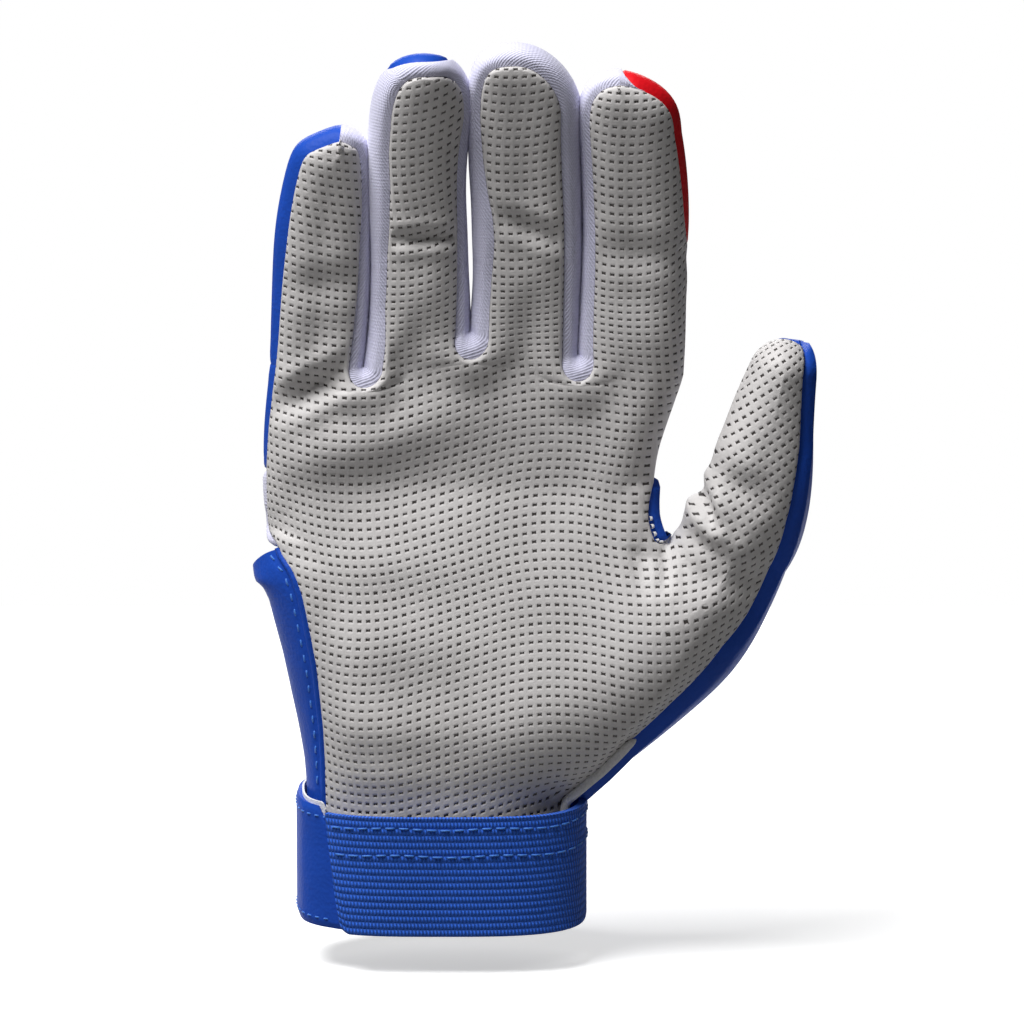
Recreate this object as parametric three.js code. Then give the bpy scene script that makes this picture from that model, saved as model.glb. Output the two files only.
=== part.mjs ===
// Right-hand batting glove, filled out as if worn, with the palm to the front.
// Sizes are millimetres. X runs across the hand to the thumb, Y from palm to back, Z from cuff to fingertips.
// The origin is the middle of the wrist mouth, on the plane of the cuff's lower edge.
//
// Every panel lies on one pillow-like surface. The glove's outline is a flat curve in X and Z. Front and back
// rise from it as a superellipse of the distance to the outline, so a panel is only a patch of that surface.
import * as THREE from "three";

// Panel walls and clearances
const LEATHER_WALL = 1.1;
const KNIT_WALL = 1.0;
const SEAM_GAP = 0.5; // air between two panels that are sewn edge to edge
const HINGE_GAP = 0.8; // air between two lengths of a finger where it bends

// Wrist, cuff and strap
const WRIST_HALF_WIDTH = 32.4;
const WRIST_HALF_DEPTH = 19;
const CUFF_HEIGHT = 29;
const CUFF_WALL = 1.8;
const CUFF_CLEARANCE = 0.6; // between the cuff and the panels tucked into it
const PALM_TUCK = 11; // length of the palm sewn behind the cuff
const ELASTIC_START = 221.5; // degrees round the wrist, from the thumb side over the back
const ELASTIC_LENGTH = 218; // degrees
const STRAP_HINGE = 150; // degrees, where the closure strap leaves its anchor
const STRAP_END = 44; // degrees
const STRAP_WALL = 1.6;
const STRAP_MARGIN = 2; // strap's edges below the cuff's rim and above its hem
const PATCH_WALL = 1.2; // hook and loop patches
const PATCH_START = 50; // degrees
const PATCH_END = 74; // degrees
const PATCH_MARGIN = 5;
const STACK_GAP = 0.4; // air between the layers of the closure

// Palm
const PALM_LENGTH = 117.4; // from cuff to the crotch between ring and middle finger
const PALM_ROLL = 24; // how far the palm's rounded edge reaches in from the outline
const PALM_FRONT_DEPTH = 16.5;
const PALM_BACK_DEPTH = 13.5;
const VENT_LENGTH = 63; // slit above the cuff, little-finger side
const VENT_FRONT = 6.5; // width of the vent facing on the palm side
const VENT_BACK = 3; // and on the back
const VENT_SLIT = 3; // open slit between the facing and the wrist panel
const SIDE_SEAM = 1.3; // seam on the palm side of the hand's two edges
const ULNAR_BEND_LOW = [-33, 33]; // bends of the little-finger edge, above the cuff
const ULNAR_BEND_HIGH = [-47, 56];
const PALM_SPLIT = 16; // sideways place where palm and thumb mound part at the cuff

// Thumb
const THUMB_BASE = [67.9, 63]; // middle of the thumb's root, above the cuff
const THUMB_BEND = [77.4, 83.3];
const THUMB_CROWN = [81.4, 106.8]; // where the tip's dome starts
const THUMB_BASE_HALF = 14.8;
const THUMB_CROWN_HALF = 8.7;
const THUMB_DOME = 8.8;
const THUMB_DEPTH = 11;
const THUMB_FORWARD = 7; // how far the thumb stands in front of the palm
const THUMB_HINGE = 0.14; // shares of the thumb's length
const THUMB_JOINT = 0.56;
const THUMB_INNER_SEAM = -3; // the palm leather rolls round the inner edge
const THUMB_OUTER_SEAM = 2.6;
const WEB_RADIUS = 1.8;
const WEB_LEAN = -60; // degrees, where the web meets the index finger's edge
const MOUND_BEND_LOW = [43, 9]; // bends of the thumb's outer edge, above the cuff
const MOUND_REACH = 24; // how far the edge runs straight on below the thumb

// Fingers
const FORK_X = 6.8; // sideways place of the crotch between ring and middle finger
const FINGER_ROLL = 10.2;
const FINGER_FRONT_DEPTH = 9.4;
const FINGER_BACK_DEPTH = 8.8;
const FINGER_CURL = 11; // how far the longest tip leans to the front
const KNUCKLE_RISE = 2.6; // the bend at the root of a finger above its higher crotch
const TIP_BACK_SEAM = -3.25; // seam over the back of a fingertip

// Seams are insets from the outline: above zero on the palm side, below zero on the back.
const FINGERS = [
  {
    name: "pinky",
    baseHalf: 10.7,
    tipHalf: 9.6,
    lower: 18,
    upper: 37.7,
    dome: 11.5,
    left: { front: 2.4, back: 2.4 },
    right: { front: 1.4, back: -2.6 },
    tipSeam: 3,
  },
  {
    name: "ring",
    baseHalf: 11.3,
    tipHalf: 11.9,
    lower: 18,
    upper: 45.2,
    dome: 13,
    left: { front: 3.4, back: -2.6 },
    right: { front: 1.8, back: -2.6 },
    tipSeam: 4.6,
  },
  {
    name: "middle",
    baseHalf: 12.7,
    tipHalf: 12.8,
    lower: 21,
    upper: 44.8,
    dome: 13.5,
    left: { front: 2.6, back: -2.6 },
    right: { front: 3.6, back: -2.6 },
    tipSeam: 3.8,
  },
  {
    name: "index",
    baseHalf: 12.4,
    tipHalf: 12.6,
    lower: 21.6,
    upper: 43.8,
    dome: 13.5,
    left: { front: 2.2, back: -2.6 },
    right: { front: 1.3, back: 1.3 },
    tipSeam: 3.8,
  },
];

// Crotches: how far each lies under the highest one, the air between the fingers, the knit shown below it
const FORKS = [
  { drop: 9.1, baseGap: 2.8, tipGap: 0.9, tongue: 5.4 },
  { drop: 0, baseGap: 1.8, tipGap: 0.9, tongue: 6.6 },
  { drop: 5.8, baseGap: 1.4, tipGap: 0.9, tongue: 6.8 },
];
const FORK_BACK_SEAM = -4;

// Shape of the rounded edges
const EDGE_POWER = 2.2;
const EDGE_START = 3.5; // inset where a panel's flat part passes into its rolled edge

// Mesh steps
const FINGER_COLUMNS = 5;
const MOUND_COLUMNS = 5;
const ROLL_COLUMNS = 5;
const GUSSET_COLUMNS = 4;

const FRONT = -1;
const BACK = 1;
const LEFT = -1;
const RIGHT = 1;

const lerp = THREE.MathUtils.lerp;
const ramp = THREE.MathUtils.smoothstep;
const radians = THREE.MathUtils.degToRad;
const flat = (x, z) => new THREE.Vector2(x, z);
const aboveCuff = ([x, z]) => flat(x, z + CUFF_HEIGHT);
const steps = (from, to, count) => Array.from({ length: count + 1 }, (_, i) => lerp(from, to, i / count));

// Heights and places worked out from the driving dimensions
const HEM = CUFF_HEIGHT - PALM_TUCK;
const FORK_TOP = CUFF_HEIGHT + PALM_LENGTH;
const VENT_TOP = CUFF_HEIGHT + VENT_LENGTH;
const PALM_MIDDLE = CUFF_HEIGHT + 0.4 * PALM_LENGTH;
const KNUCKLE_LINE = FORK_TOP - Math.max(...FORKS.map((fork) => fork.drop));

function layOutFingers() {
  FORKS.forEach((fork) => {
    fork.z = FORK_TOP - fork.drop;
  });
  FINGERS.forEach((finger, i) => {
    const crotches = FORKS.slice(Math.max(i - 1, 0), i + 1).map((fork) => fork.z);
    finger.knuckle = Math.max(...crotches) + KNUCKLE_RISE;
    finger.joint = finger.knuckle + finger.lower;
    finger.tip = finger.joint + finger.upper;
    finger.crown = finger.tip - finger.dome;
  });
  chainFingers("baseX", "baseHalf", "baseGap");
  chainFingers("tipX", "tipHalf", "tipGap");
}

// Centres of the fingers side by side, outwards from the crotch between ring and middle finger.
function chainFingers(place, half, gap) {
  const [pinky, ring, middle, index] = FINGERS;
  ring[place] = FORK_X - FORKS[1][gap] / 2 - ring[half];
  middle[place] = FORK_X + FORKS[1][gap] / 2 + middle[half];
  pinky[place] = ring[place] - ring[half] - FORKS[0][gap] - pinky[half];
  index[place] = middle[place] + middle[half] + FORKS[2][gap] + index[half];
}

layOutFingers();

// Sine or cosine of a superellipse.
const rounded = (value) => Math.sign(value) * Math.abs(value) ** (2 / EDGE_POWER);

// Outline curves. Each takes a parameter and returns a flat point. A fingertip's parameter may run past its top.

function fingerEdge(finger, side) {
  const share = (z) => (z - KNUCKLE_LINE) / (finger.tip - KNUCKLE_LINE);
  const centre = (z) => lerp(finger.baseX, finger.tipX, share(z));
  const half = (z) => lerp(finger.baseHalf, finger.tipHalf, share(z));
  return (s) => {
    if (s <= finger.crown) return flat(centre(s) + side * half(s), s);
    const turn = ((s - finger.crown) * Math.PI) / 2;
    const z = finger.crown + finger.dome * rounded(Math.sin(turn));
    return flat(centre(z) + side * half(z) * rounded(Math.cos(turn)), z);
  };
}

function forkEdge(i) {
  const z = FORKS[i].z;
  const from = fingerEdge(FINGERS[i], RIGHT)(z);
  const to = fingerEdge(FINGERS[i + 1], LEFT)(z);
  return arc(from.clone().add(to).divideScalar(2), from.distanceTo(to) / 2);
}

// Lower side of a circle, by the angle in degrees from its lowest point.
function arc(centre, radius) {
  return (angle) => {
    const turn = radians(angle);
    return flat(centre.x + radius * Math.sin(turn), centre.y - radius * Math.cos(turn));
  };
}

const thumbAxis = new THREE.QuadraticBezierCurve(
  aboveCuff(THUMB_BASE),
  aboveCuff(THUMB_BEND),
  aboveCuff(THUMB_CROWN),
);

function thumbEdge(side) {
  return (s) => {
    const share = THREE.MathUtils.clamp(s, 0, 1);
    const along = thumbAxis.getTangent(share);
    const across = flat(along.y, -along.x).multiplyScalar(side);
    const turn = (Math.max(s - 1, 0) * Math.PI) / 2;
    const half = lerp(THUMB_BASE_HALF, THUMB_CROWN_HALF, share) * rounded(Math.cos(turn));
    const rise = THUMB_DOME * rounded(Math.sin(turn));
    return thumbAxis.getPoint(share).addScaledVector(across, half).addScaledVector(along, rise);
  };
}

function webEdge() {
  const along = thumbAxis.getTangent(0);
  const inward = flat(along.y, -along.x);
  return arc(thumbEdge(LEFT)(0).addScaledVector(inward, -WEB_RADIUS), WEB_RADIUS);
}

const webThumbAngle = THREE.MathUtils.radToDeg(Math.atan2(thumbAxis.getTangent(0).y, thumbAxis.getTangent(0).x));

const BASE_LEFT = FORKS[0].z - FORKS[0].baseGap / 2 - FORKS[0].tongue;
const BASE_RIGHT = FORKS[2].z - FORKS[2].baseGap / 2 - FORKS[2].tongue;

function ulnarEdge() {
  const curve = new THREE.CubicBezierCurve(
    flat(-WRIST_HALF_WIDTH, CUFF_HEIGHT),
    aboveCuff(ULNAR_BEND_LOW),
    aboveCuff(ULNAR_BEND_HIGH),
    fingerEdge(FINGERS[0], LEFT)(BASE_LEFT),
  );
  return tuckedEdge(curve);
}

function moundEdge() {
  const end = thumbEdge(RIGHT)(0);
  const curve = new THREE.CubicBezierCurve(
    flat(WRIST_HALF_WIDTH, CUFF_HEIGHT),
    aboveCuff(MOUND_BEND_LOW),
    end.clone().addScaledVector(thumbAxis.getTangent(0), -MOUND_REACH),
    end,
  );
  return tuckedEdge(curve);
}

// A curve with a straight tail inside the cuff, for parameters from -1 to 0.
function tuckedEdge(curve) {
  const foot = curve.getPoint(0);
  return (s) => (s < 0 ? flat(foot.x, lerp(foot.y, HEM, -s)) : curve.getPoint(Math.min(s, 1)));
}

function radialEdge() {
  const end = webEdge()(WEB_LEAN);
  const turn = radians(WEB_LEAN);
  const start = fingerEdge(FINGERS[3], RIGHT)(BASE_RIGHT);
  const span = start.distanceTo(end);
  const curve = new THREE.CubicBezierCurve(
    start,
    flat(start.x, start.y - 0.4 * span),
    end.clone().addScaledVector(flat(Math.cos(turn), Math.sin(turn)), -0.25 * span),
    end,
  );
  return (s) => curve.getPoint(THREE.MathUtils.clamp(s, 0, 1));
}

// The whole outline as short straight lengths, for finding the nearest point of it.
function sampleOutline() {
  const path = [];
  const add = (edge, from, to, count) => path.push(...steps(from, to, count).map(edge));
  add(ulnarEdge(), -1, 1, 30);
  FINGERS.forEach((finger, i) => {
    const foot = (fork) => (fork ? fork.z : i === 0 ? BASE_LEFT : BASE_RIGHT);
    add(fingerEdge(finger, LEFT), foot(FORKS[i - 1]), finger.crown, 4);
    add(fingerEdge(finger, LEFT), finger.crown, finger.crown + 1, 12);
    add(fingerEdge(finger, RIGHT), finger.crown + 1, finger.crown, 12);
    add(fingerEdge(finger, RIGHT), finger.crown, foot(FORKS[i]), 4);
    if (FORKS[i]) add(forkEdge(i), -90, 90, 12);
  });
  add(radialEdge(), 0, 1, 16);
  add(webEdge(), WEB_LEAN, webThumbAngle, 10);
  add(thumbEdge(LEFT), 0, 2, 30);
  add(thumbEdge(RIGHT), 2, 0, 30);
  add(moundEdge(), 1, -1, 30);
  return path;
}

const outline = sampleOutline();

function nearestOnOutline(spot) {
  let best = Infinity;
  const nearest = flat(0, 0);
  for (let i = 0; i + 1 < outline.length; i++) {
    const edge = outline[i + 1].clone().sub(outline[i]);
    const share = spot.clone().sub(outline[i]).dot(edge) / Math.max(edge.lengthSq(), 1e-9);
    const foot = outline[i].clone().addScaledVector(edge, THREE.MathUtils.clamp(share, 0, 1));
    const distance = foot.distanceTo(spot);
    if (distance < best) {
      best = distance;
      nearest.copy(foot);
    }
  }
  return { distance: best, outward: nearest.sub(spot).normalize() };
}

// The pillow surface

function alongHand(z, wrist, palm, finger) {
  const toPalm = ramp(z, CUFF_HEIGHT, PALM_MIDDLE);
  const toFinger = ramp(z, PALM_MIDDLE, KNUCKLE_LINE);
  return lerp(lerp(wrist, palm, toPalm), finger, toFinger);
}

// How far a place belongs to the thumb, from 0 in the palm to 1.
function thumbShare(x, z) {
  const offset = flat(x, z).sub(aboveCuff(THUMB_BASE));
  const axis = aboveCuff(THUMB_CROWN).sub(aboveCuff(THUMB_BASE)).normalize();
  const along = offset.dot(axis);
  const across = offset.dot(flat(axis.y, -axis.x));
  return ramp(along, -THUMB_BASE_HALF, 2 * THUMB_BASE_HALF) * ramp(across, -1.5 * THUMB_BASE_HALF, -THUMB_BASE_HALF);
}

function midplane(x, z) {
  const lean = Math.max(z - FORK_TOP, 0) / (FINGERS[2].tip - FORK_TOP);
  return -FINGER_CURL * lean ** 2 - THUMB_FORWARD * thumbShare(x, z);
}

function surfaceSpot(spot, outward, distance, face) {
  const share = thumbShare(spot.x, spot.y);
  const palmDepth = face === FRONT ? PALM_FRONT_DEPTH : PALM_BACK_DEPTH;
  const fingerDepth = face === FRONT ? FINGER_FRONT_DEPTH : FINGER_BACK_DEPTH;
  const roll = lerp(alongHand(spot.y, WRIST_HALF_WIDTH, PALM_ROLL, FINGER_ROLL), FINGER_ROLL, share);
  const depth = lerp(alongHand(spot.y, WRIST_HALF_DEPTH, palmDepth, fingerDepth), THUMB_DEPTH, share);
  const out = 1 - Math.min(distance / roll, 1);
  const rise = (1 - out ** EDGE_POWER) ** (1 / EDGE_POWER);
  const sideways = out ** (EDGE_POWER - 1) / roll;
  const upright = rise ** (EDGE_POWER - 1) / depth;
  const normal = new THREE.Vector3(outward.x * sideways, face * upright, outward.y * sideways).normalize();
  const position = new THREE.Vector3(spot.x, midplane(spot.x, spot.y) + face * depth * rise, spot.y);
  return { position, normal, key: `${spot.x.toFixed(3)} ${spot.y.toFixed(3)} ${distance > 0 ? face : 0}` };
}

function spotInside(spot, face) {
  const { distance, outward } = nearestOnOutline(spot);
  return surfaceSpot(spot, outward, distance, face);
}

// Stations: points of the outline with the way inwards and the seams there

function station(edge, s, inside, seams) {
  const tangent = edge(s + 0.01).sub(edge(s - 0.01)).normalize();
  const inward = flat(tangent.y, -tangent.x).multiplyScalar(inside);
  return { foot: edge(s), inward, ...seams };
}

const insetPoint = (at, inset) => at.foot.clone().addScaledVector(at.inward, Math.abs(inset));

function spotOnStation(at, inset) {
  const face = inset < 0 ? BACK : FRONT;
  return surfaceSpot(insetPoint(at, inset), at.inward.clone().negate(), Math.abs(inset), face);
}

function fingerStations(finger, side, params) {
  const name = side === LEFT ? "left" : "right";
  return params.map((s) => {
    const over = ramp(s, finger.crown, finger.crown + 1);
    const wraps = finger[name].front === finger[name].back;
    const front = lerp(finger[name].front, finger.tipSeam, over);
    const back = lerp(finger[name].back, wraps ? finger.tipSeam : TIP_BACK_SEAM, over);
    return station(fingerEdge(finger, side), s, -side, { front, back });
  });
}

// Stations of a crotch from its lowest point to one finger's side.
function forkStations(i, side, angles) {
  const finger = side === LEFT ? FINGERS[i] : FINGERS[i + 1];
  const seams = side === LEFT ? finger.right : finger.left;
  return angles.map((angle) => {
    const up = ramp(angle, 0, 90);
    const front = lerp(FORKS[i].tongue, seams.front, up);
    const back = lerp(FORK_BACK_SEAM, seams.back, up);
    return station(forkEdge(i), side * angle, 1, { front, back });
  });
}

const FORK_ANGLES = [0, 30, 60, 90];

// The root of a finger, from the crotches up to where it bends.
function rootStations(i, side) {
  const finger = FINGERS[i];
  const end = finger.knuckle - HINGE_GAP / 2;
  const fork = side === LEFT ? FORKS[i - 1] : FORKS[i];
  if (fork) {
    const low = forkStations(side === LEFT ? i - 1 : i, -side, FORK_ANGLES);
    return [...low, ...fingerStations(finger, side, [end])];
  }
  const start = side === LEFT ? BASE_LEFT : BASE_RIGHT;
  return fingerStations(finger, side, steps(start, end, FORK_ANGLES.length));
}

function thumbStations(side, params) {
  return params.map((s) => {
    const seam = side === LEFT ? THUMB_INNER_SEAM : THUMB_OUTER_SEAM;
    const inset = lerp(seam, 0, ramp(s, 1, 2));
    return station(thumbEdge(side), s, -side, { front: inset, back: inset });
  });
}

const edgeSeam = { front: SIDE_SEAM, back: SIDE_SEAM };
const moundSeam = { front: THUMB_OUTER_SEAM, back: THUMB_OUTER_SEAM };
const ventSeam = { front: VENT_FRONT, back: -VENT_BACK };
const webStation = (angle) => station(webEdge(), angle, 1, edgeSeam);

// Panels as grids of surface points

const sheetInset = (at, face) => (face === FRONT ? at.front + SEAM_GAP / 2 : SEAM_GAP / 2 - at.back);
const startInset = (at, face) => Math.max(sheetInset(at, face), EDGE_START);
const startSpot = (at, face) => spotOnStation(at, -face * startInset(at, face));
const startPoint = (at, face) => insetPoint(at, startInset(at, face));

const insetAngle = (inset) => Math.sign(inset) * Math.acos(1 - Math.min(Math.abs(inset) / FINGER_ROLL, 1));
const angleInset = (angle) => Math.sign(angle) * FINGER_ROLL * (1 - Math.cos(angle));

// A strip along stations, from one inset to another, in even turns round the edge.
function strip(stations, from, to, columns) {
  return stations.map((at) =>
    steps(insetAngle(from(at)), insetAngle(to(at)), columns).map((angle) => spotOnStation(at, angleInset(angle))),
  );
}

// The rolled edge of a panel, from its flat part to its seam.
function rolledEdge(stations, face, columns) {
  const from = (at) => -face * startInset(at, face);
  const to = (at) => -face * sheetInset(at, face);
  return strip(stations, from, to, columns);
}

function rollColumns(stations, face) {
  return stations.some((at) => sheetInset(at, face) < 0) ? ROLL_COLUMNS : 1;
}

function gusset(stations) {
  const from = (at) => at.back + SEAM_GAP / 2;
  const to = (at) => at.front - SEAM_GAP / 2;
  return strip(stations, from, to, GUSSET_COLUMNS);
}

function rowBetween(left, right, face, columns) {
  const from = startPoint(left, face);
  const to = startPoint(right, face);
  const row = steps(0, 1, columns).map((share) => spotInside(from.clone().lerp(to, share), face));
  row[0] = startSpot(left, face);
  row[columns] = startSpot(right, face);
  return row;
}

// A patch between two lists of stations, with both rolled edges.
function stallPanel(left, right, face, columns, roll = null) {
  const flatPart = left.map((at, i) => rowBetween(at, right[i], face, columns));
  const leftEdge = rolledEdge(left, face, roll ?? rollColumns(left, face));
  const rightEdge = rolledEdge(right, face, roll ?? rollColumns(right, face));
  return [flatPart, leftEdge, rightEdge];
}

// Closed solid from a panel's outer surface: a second skin one wall further in, and walls along every free edge.
function solidPanel(grids, wall) {
  const skin = joinGrids(grids);
  const count = skin.outer.length;
  const inner = skin.outer.map((position, i) => position.clone().addScaledVector(skin.normals[i], -wall));
  const index = [];
  for (const [a, b, c] of skin.triangles) {
    index.push(a, b, c);
    index.push(count + c, count + b, count + a);
  }
  for (const [a, b] of freeEdges(skin.triangles)) {
    index.push(b, a, count + a);
    index.push(b, count + a, count + b);
  }
  const geometry = new THREE.BufferGeometry().setFromPoints([...skin.outer, ...inner]);
  geometry.setIndex(index);
  geometry.computeVertexNormals();
  return geometry;
}

function joinGrids(grids) {
  const skin = { outer: [], normals: [], triangles: [], places: new Map() };
  for (const grid of grids) {
    for (let i = 0; i + 1 < grid.length; i++) {
      for (let j = 0; j + 1 < grid[i].length; j++) {
        const ring = [grid[i][j], grid[i][j + 1], grid[i + 1][j + 1], grid[i + 1][j]];
        const [a, b, c, d] = ring.map((spot) => skinIndex(skin, spot));
        addTriangle(skin, a, b, c);
        addTriangle(skin, a, c, d);
      }
    }
  }
  return skin;
}

function skinIndex(skin, spot) {
  if (!skin.places.has(spot.key)) {
    skin.places.set(spot.key, skin.outer.length);
    skin.outer.push(spot.position);
    skin.normals.push(spot.normal);
  }
  return skin.places.get(spot.key);
}

function addTriangle(skin, a, b, c) {
  if (a === b || b === c || c === a) return;
  const face = new THREE.Triangle(skin.outer[a], skin.outer[b], skin.outer[c]).getNormal(new THREE.Vector3());
  const outward = skin.normals[a].clone().add(skin.normals[b]).add(skin.normals[c]);
  skin.triangles.push(face.dot(outward) < 0 ? [a, c, b] : [a, b, c]);
}

function freeEdges(triangles) {
  const edges = new Map();
  for (const [a, b, c] of triangles) {
    for (const [from, to] of [[a, b], [b, c], [c, a]]) {
      if (!edges.delete(`${to} ${from}`)) edges.set(`${from} ${to}`, [from, to]);
    }
  }
  return [...edges.values()];
}

// Palm and back of the hand: one patch from cuff to finger roots, one over the thumb's mound

const ulnar = ulnarEdge();
const ventEnd = ulnarParameterAt(VENT_TOP);

// Parameter of the little-finger edge at a height, by halving the range.
function ulnarParameterAt(z) {
  let low = 0;
  let high = 1;
  for (let i = 0; i < 40; i++) {
    const middle = (low + high) / 2;
    if (ulnar(middle).y < z) low = middle;
    else high = middle;
  }
  return low;
}

const LOW_ROWS = [-1, 0, ventEnd / 4, ventEnd / 2, (3 * ventEnd) / 4, ventEnd];
const HIGH_ROWS = steps(ventEnd, 1, 4);
const SEAM_STEP = SEAM_GAP / (2 * (BASE_LEFT - CUFF_HEIGHT)); // half a seam gap along the little-finger edge
const KNIT_TOP = HIGH_ROWS[2];

const handShare = (s) => (ulnar(s).y - HEM) / (BASE_LEFT - HEM);
const ventShare = handShare(ventEnd);

// Left-hand end of a row: beside the vent, then on the hand's edge, then on the little finger's root.
function ventStation(s) {
  return station(ulnar, s, 1, { front: VENT_FRONT, back: -VENT_BACK - VENT_SLIT });
}

function ulnarStation(s) {
  if (s === 1) return rootStations(0, LEFT)[0];
  const seam = lerp(VENT_FRONT, SIDE_SEAM, ramp(s, ventEnd, HIGH_ROWS[1]));
  return station(ulnar, s, 1, { front: seam, back: seam });
}

// Right-hand end of a row: inside the hand below the web, on the index finger's edge above it.
function innerStation(s) {
  if (s === 1) return rootStations(FINGERS.length - 1, RIGHT)[0];
  const share = (s - ventEnd) / (1 - ventEnd);
  if (share < 0.25) return webStation(lerp(0, WEB_LEAN, share / 0.25));
  return station(radialEdge(), 1 - (share - 0.25) / 0.75, 1, edgeSeam);
}

function splitPoint(s, face) {
  const share = handShare(s) / ventShare;
  return flat(PALM_SPLIT, HEM).lerp(startPoint(webStation(0), face), share);
}

const rightPoint = (s, face) => (s < ventEnd ? splitPoint(s, face) : startPoint(innerStation(s), face));

// Points along the finger roots, where the palm ends and the fingers begin.
function rootLine(face) {
  const ends = FINGERS.map((_, i) => startPoint(rootStations(i, LEFT)[0], face));
  ends.push(startPoint(rootStations(FINGERS.length - 1, RIGHT)[0], face));
  return (u) => {
    const place = Math.min(Math.floor(u * FINGERS.length), FINGERS.length - 1);
    return ends[place].clone().lerp(ends[place + 1], u * FINGERS.length - place);
  };
}

// A place on the palm patch: the four sides blended by a Coons patch.
function palmPlace(u, s, face, left) {
  const v = handShare(s);
  const leftFoot = startPoint(left(-1), face);
  const rightFoot = splitPoint(-1, face);
  const top = rootLine(face);
  const across = startPoint(left(s), face).lerp(rightPoint(s, face), u);
  const along = leftFoot.clone().lerp(rightFoot, u).lerp(top(u), v);
  const corners = leftFoot.clone().lerp(top(0), v).lerp(rightFoot.clone().lerp(top(1), v), u);
  return across.add(along).sub(corners);
}

function palmGrid(rows, columns, face, left) {
  return rows.map((s) =>
    columns.map((u) => {
      if (u === 0) return startSpot(left(s), face);
      if (u === 1 && s >= ventEnd) return startSpot(innerStation(s), face);
      return spotInside(palmPlace(u, s, face, left), face);
    }),
  );
}

const PALM_COLUMNS = steps(0, 1, FINGERS.length * FINGER_COLUMNS);

function rootPanels(face) {
  return FINGERS.flatMap((_, i) => stallPanel(rootStations(i, LEFT), rootStations(i, RIGHT), face, FINGER_COLUMNS));
}

const moundRows = [-1, 0, 0.25, 0.5, 0.75, 1];

function moundStation(s) {
  return s < 1 ? station(moundEdge(), s, -1, moundSeam) : thumbRoot(RIGHT)[0];
}

function thumbRoot(side) {
  const end = THUMB_HINGE - HINGE_GAP / 2 / thumbAxis.getLength();
  if (side === RIGHT) {
    return steps(0, end, 3).map((s) => station(thumbEdge(RIGHT), s, -1, moundSeam));
  }
  const tail = station(thumbEdge(LEFT), end, 1, edgeSeam);
  return [webStation(0), webStation(webThumbAngle / 2), webStation(webThumbAngle), tail];
}

function moundGrids(face) {
  const rims = moundRows.map(moundStation);
  const rows = rims.map((rim, i) => {
    const from = rightPoint(LOW_ROWS[i], face);
    const to = startPoint(rim, face);
    const row = steps(0, 1, MOUND_COLUMNS).map((share) => spotInside(from.clone().lerp(to, share), face));
    row[MOUND_COLUMNS] = startSpot(rim, face);
    return row;
  });
  const rim = rolledEdge(rims, face, rollColumns(rims, face));
  return [rows, rim, ...stallPanel(thumbRoot(LEFT), thumbRoot(RIGHT), face, MOUND_COLUMNS)];
}

function innerEdge(rows, face) {
  const stations = rows.map(innerStation);
  return rolledEdge(stations, face, rollColumns(stations, face));
}

function palmPanel() {
  const rows = [...LOW_ROWS, ...HIGH_ROWS.slice(1)];
  const left = (s) => (s <= ventEnd ? ventStation(s) : ulnarStation(s));
  return [
    palmGrid(rows, PALM_COLUMNS, FRONT, left),
    rolledEdge(rows.map(left), FRONT, 1),
    innerEdge(HIGH_ROWS, FRONT),
    ...rootPanels(FRONT),
    ...moundGrids(FRONT),
  ];
}

const BACK_SPLIT = 0.75; // share of the back's width where the thumb base panel takes over
const backGap = SEAM_GAP / (2 * WRIST_HALF_WIDTH);
const backColumns = steps(0, BACK_SPLIT - backGap, 3 * FINGER_COLUMNS);

function wristPanel() {
  const rows = [...LOW_ROWS.slice(0, -1), ventEnd - SEAM_STEP];
  return [palmGrid(rows, backColumns, BACK, ventStation)];
}

function backKnitPanel() {
  const rows = [ventEnd + SEAM_STEP, HIGH_ROWS[1], KNIT_TOP - SEAM_STEP];
  const stations = rows.map(ulnarStation);
  return [palmGrid(rows, backColumns, BACK, ulnarStation), rolledEdge(stations, BACK, ROLL_COLUMNS)];
}

function knucklePanel() {
  const rows = [KNIT_TOP + SEAM_STEP, ...HIGH_ROWS.slice(3)];
  return [
    palmGrid(rows, PALM_COLUMNS, BACK, ulnarStation),
    rolledEdge(rows.map(ulnarStation), BACK, ROLL_COLUMNS),
    innerEdge(rows, BACK),
    ...rootPanels(BACK),
  ];
}

function thumbBasePanel() {
  const left = (s) => (s < ventEnd ? ventStation(s) : ulnarStation(s));
  const columns = steps(BACK_SPLIT + backGap, 1, FINGER_COLUMNS);
  const rows = [...LOW_ROWS, HIGH_ROWS[1], KNIT_TOP - SEAM_STEP];
  const edgeRows = [ventEnd, HIGH_ROWS[1], KNIT_TOP - SEAM_STEP];
  return [palmGrid(rows, columns, BACK, left), innerEdge(edgeRows, BACK), ...moundGrids(BACK)];
}

function ventFacing() {
  const stations = LOW_ROWS.map((s) => station(ulnar, Math.min(s, ventEnd - SEAM_STEP), 1, ventSeam));
  return [strip(stations, () => -VENT_BACK, () => VENT_FRONT - SEAM_GAP / 2, 2 * GUSSET_COLUMNS)];
}

function forkGusset(i) {
  const left = FINGERS[i].knuckle - HINGE_GAP / 2;
  const right = FINGERS[i + 1].knuckle - HINGE_GAP / 2;
  const angles = FORK_ANGLES.slice(1);
  const stations = [
    ...fingerStations(FINGERS[i], RIGHT, [left]),
    ...forkStations(i, LEFT, [...angles].reverse()),
    ...forkStations(i, RIGHT, [0, ...angles]),
    ...fingerStations(FINGERS[i + 1], LEFT, [right]),
  ];
  return [gusset(stations)];
}

// Finger lengths

const DOME_STEPS = [0.2, 0.4, 0.6, 0.8, 0.92, 1];

const lowerParams = (finger) => steps(finger.knuckle + HINGE_GAP / 2, finger.joint - HINGE_GAP / 2, 2);

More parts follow.
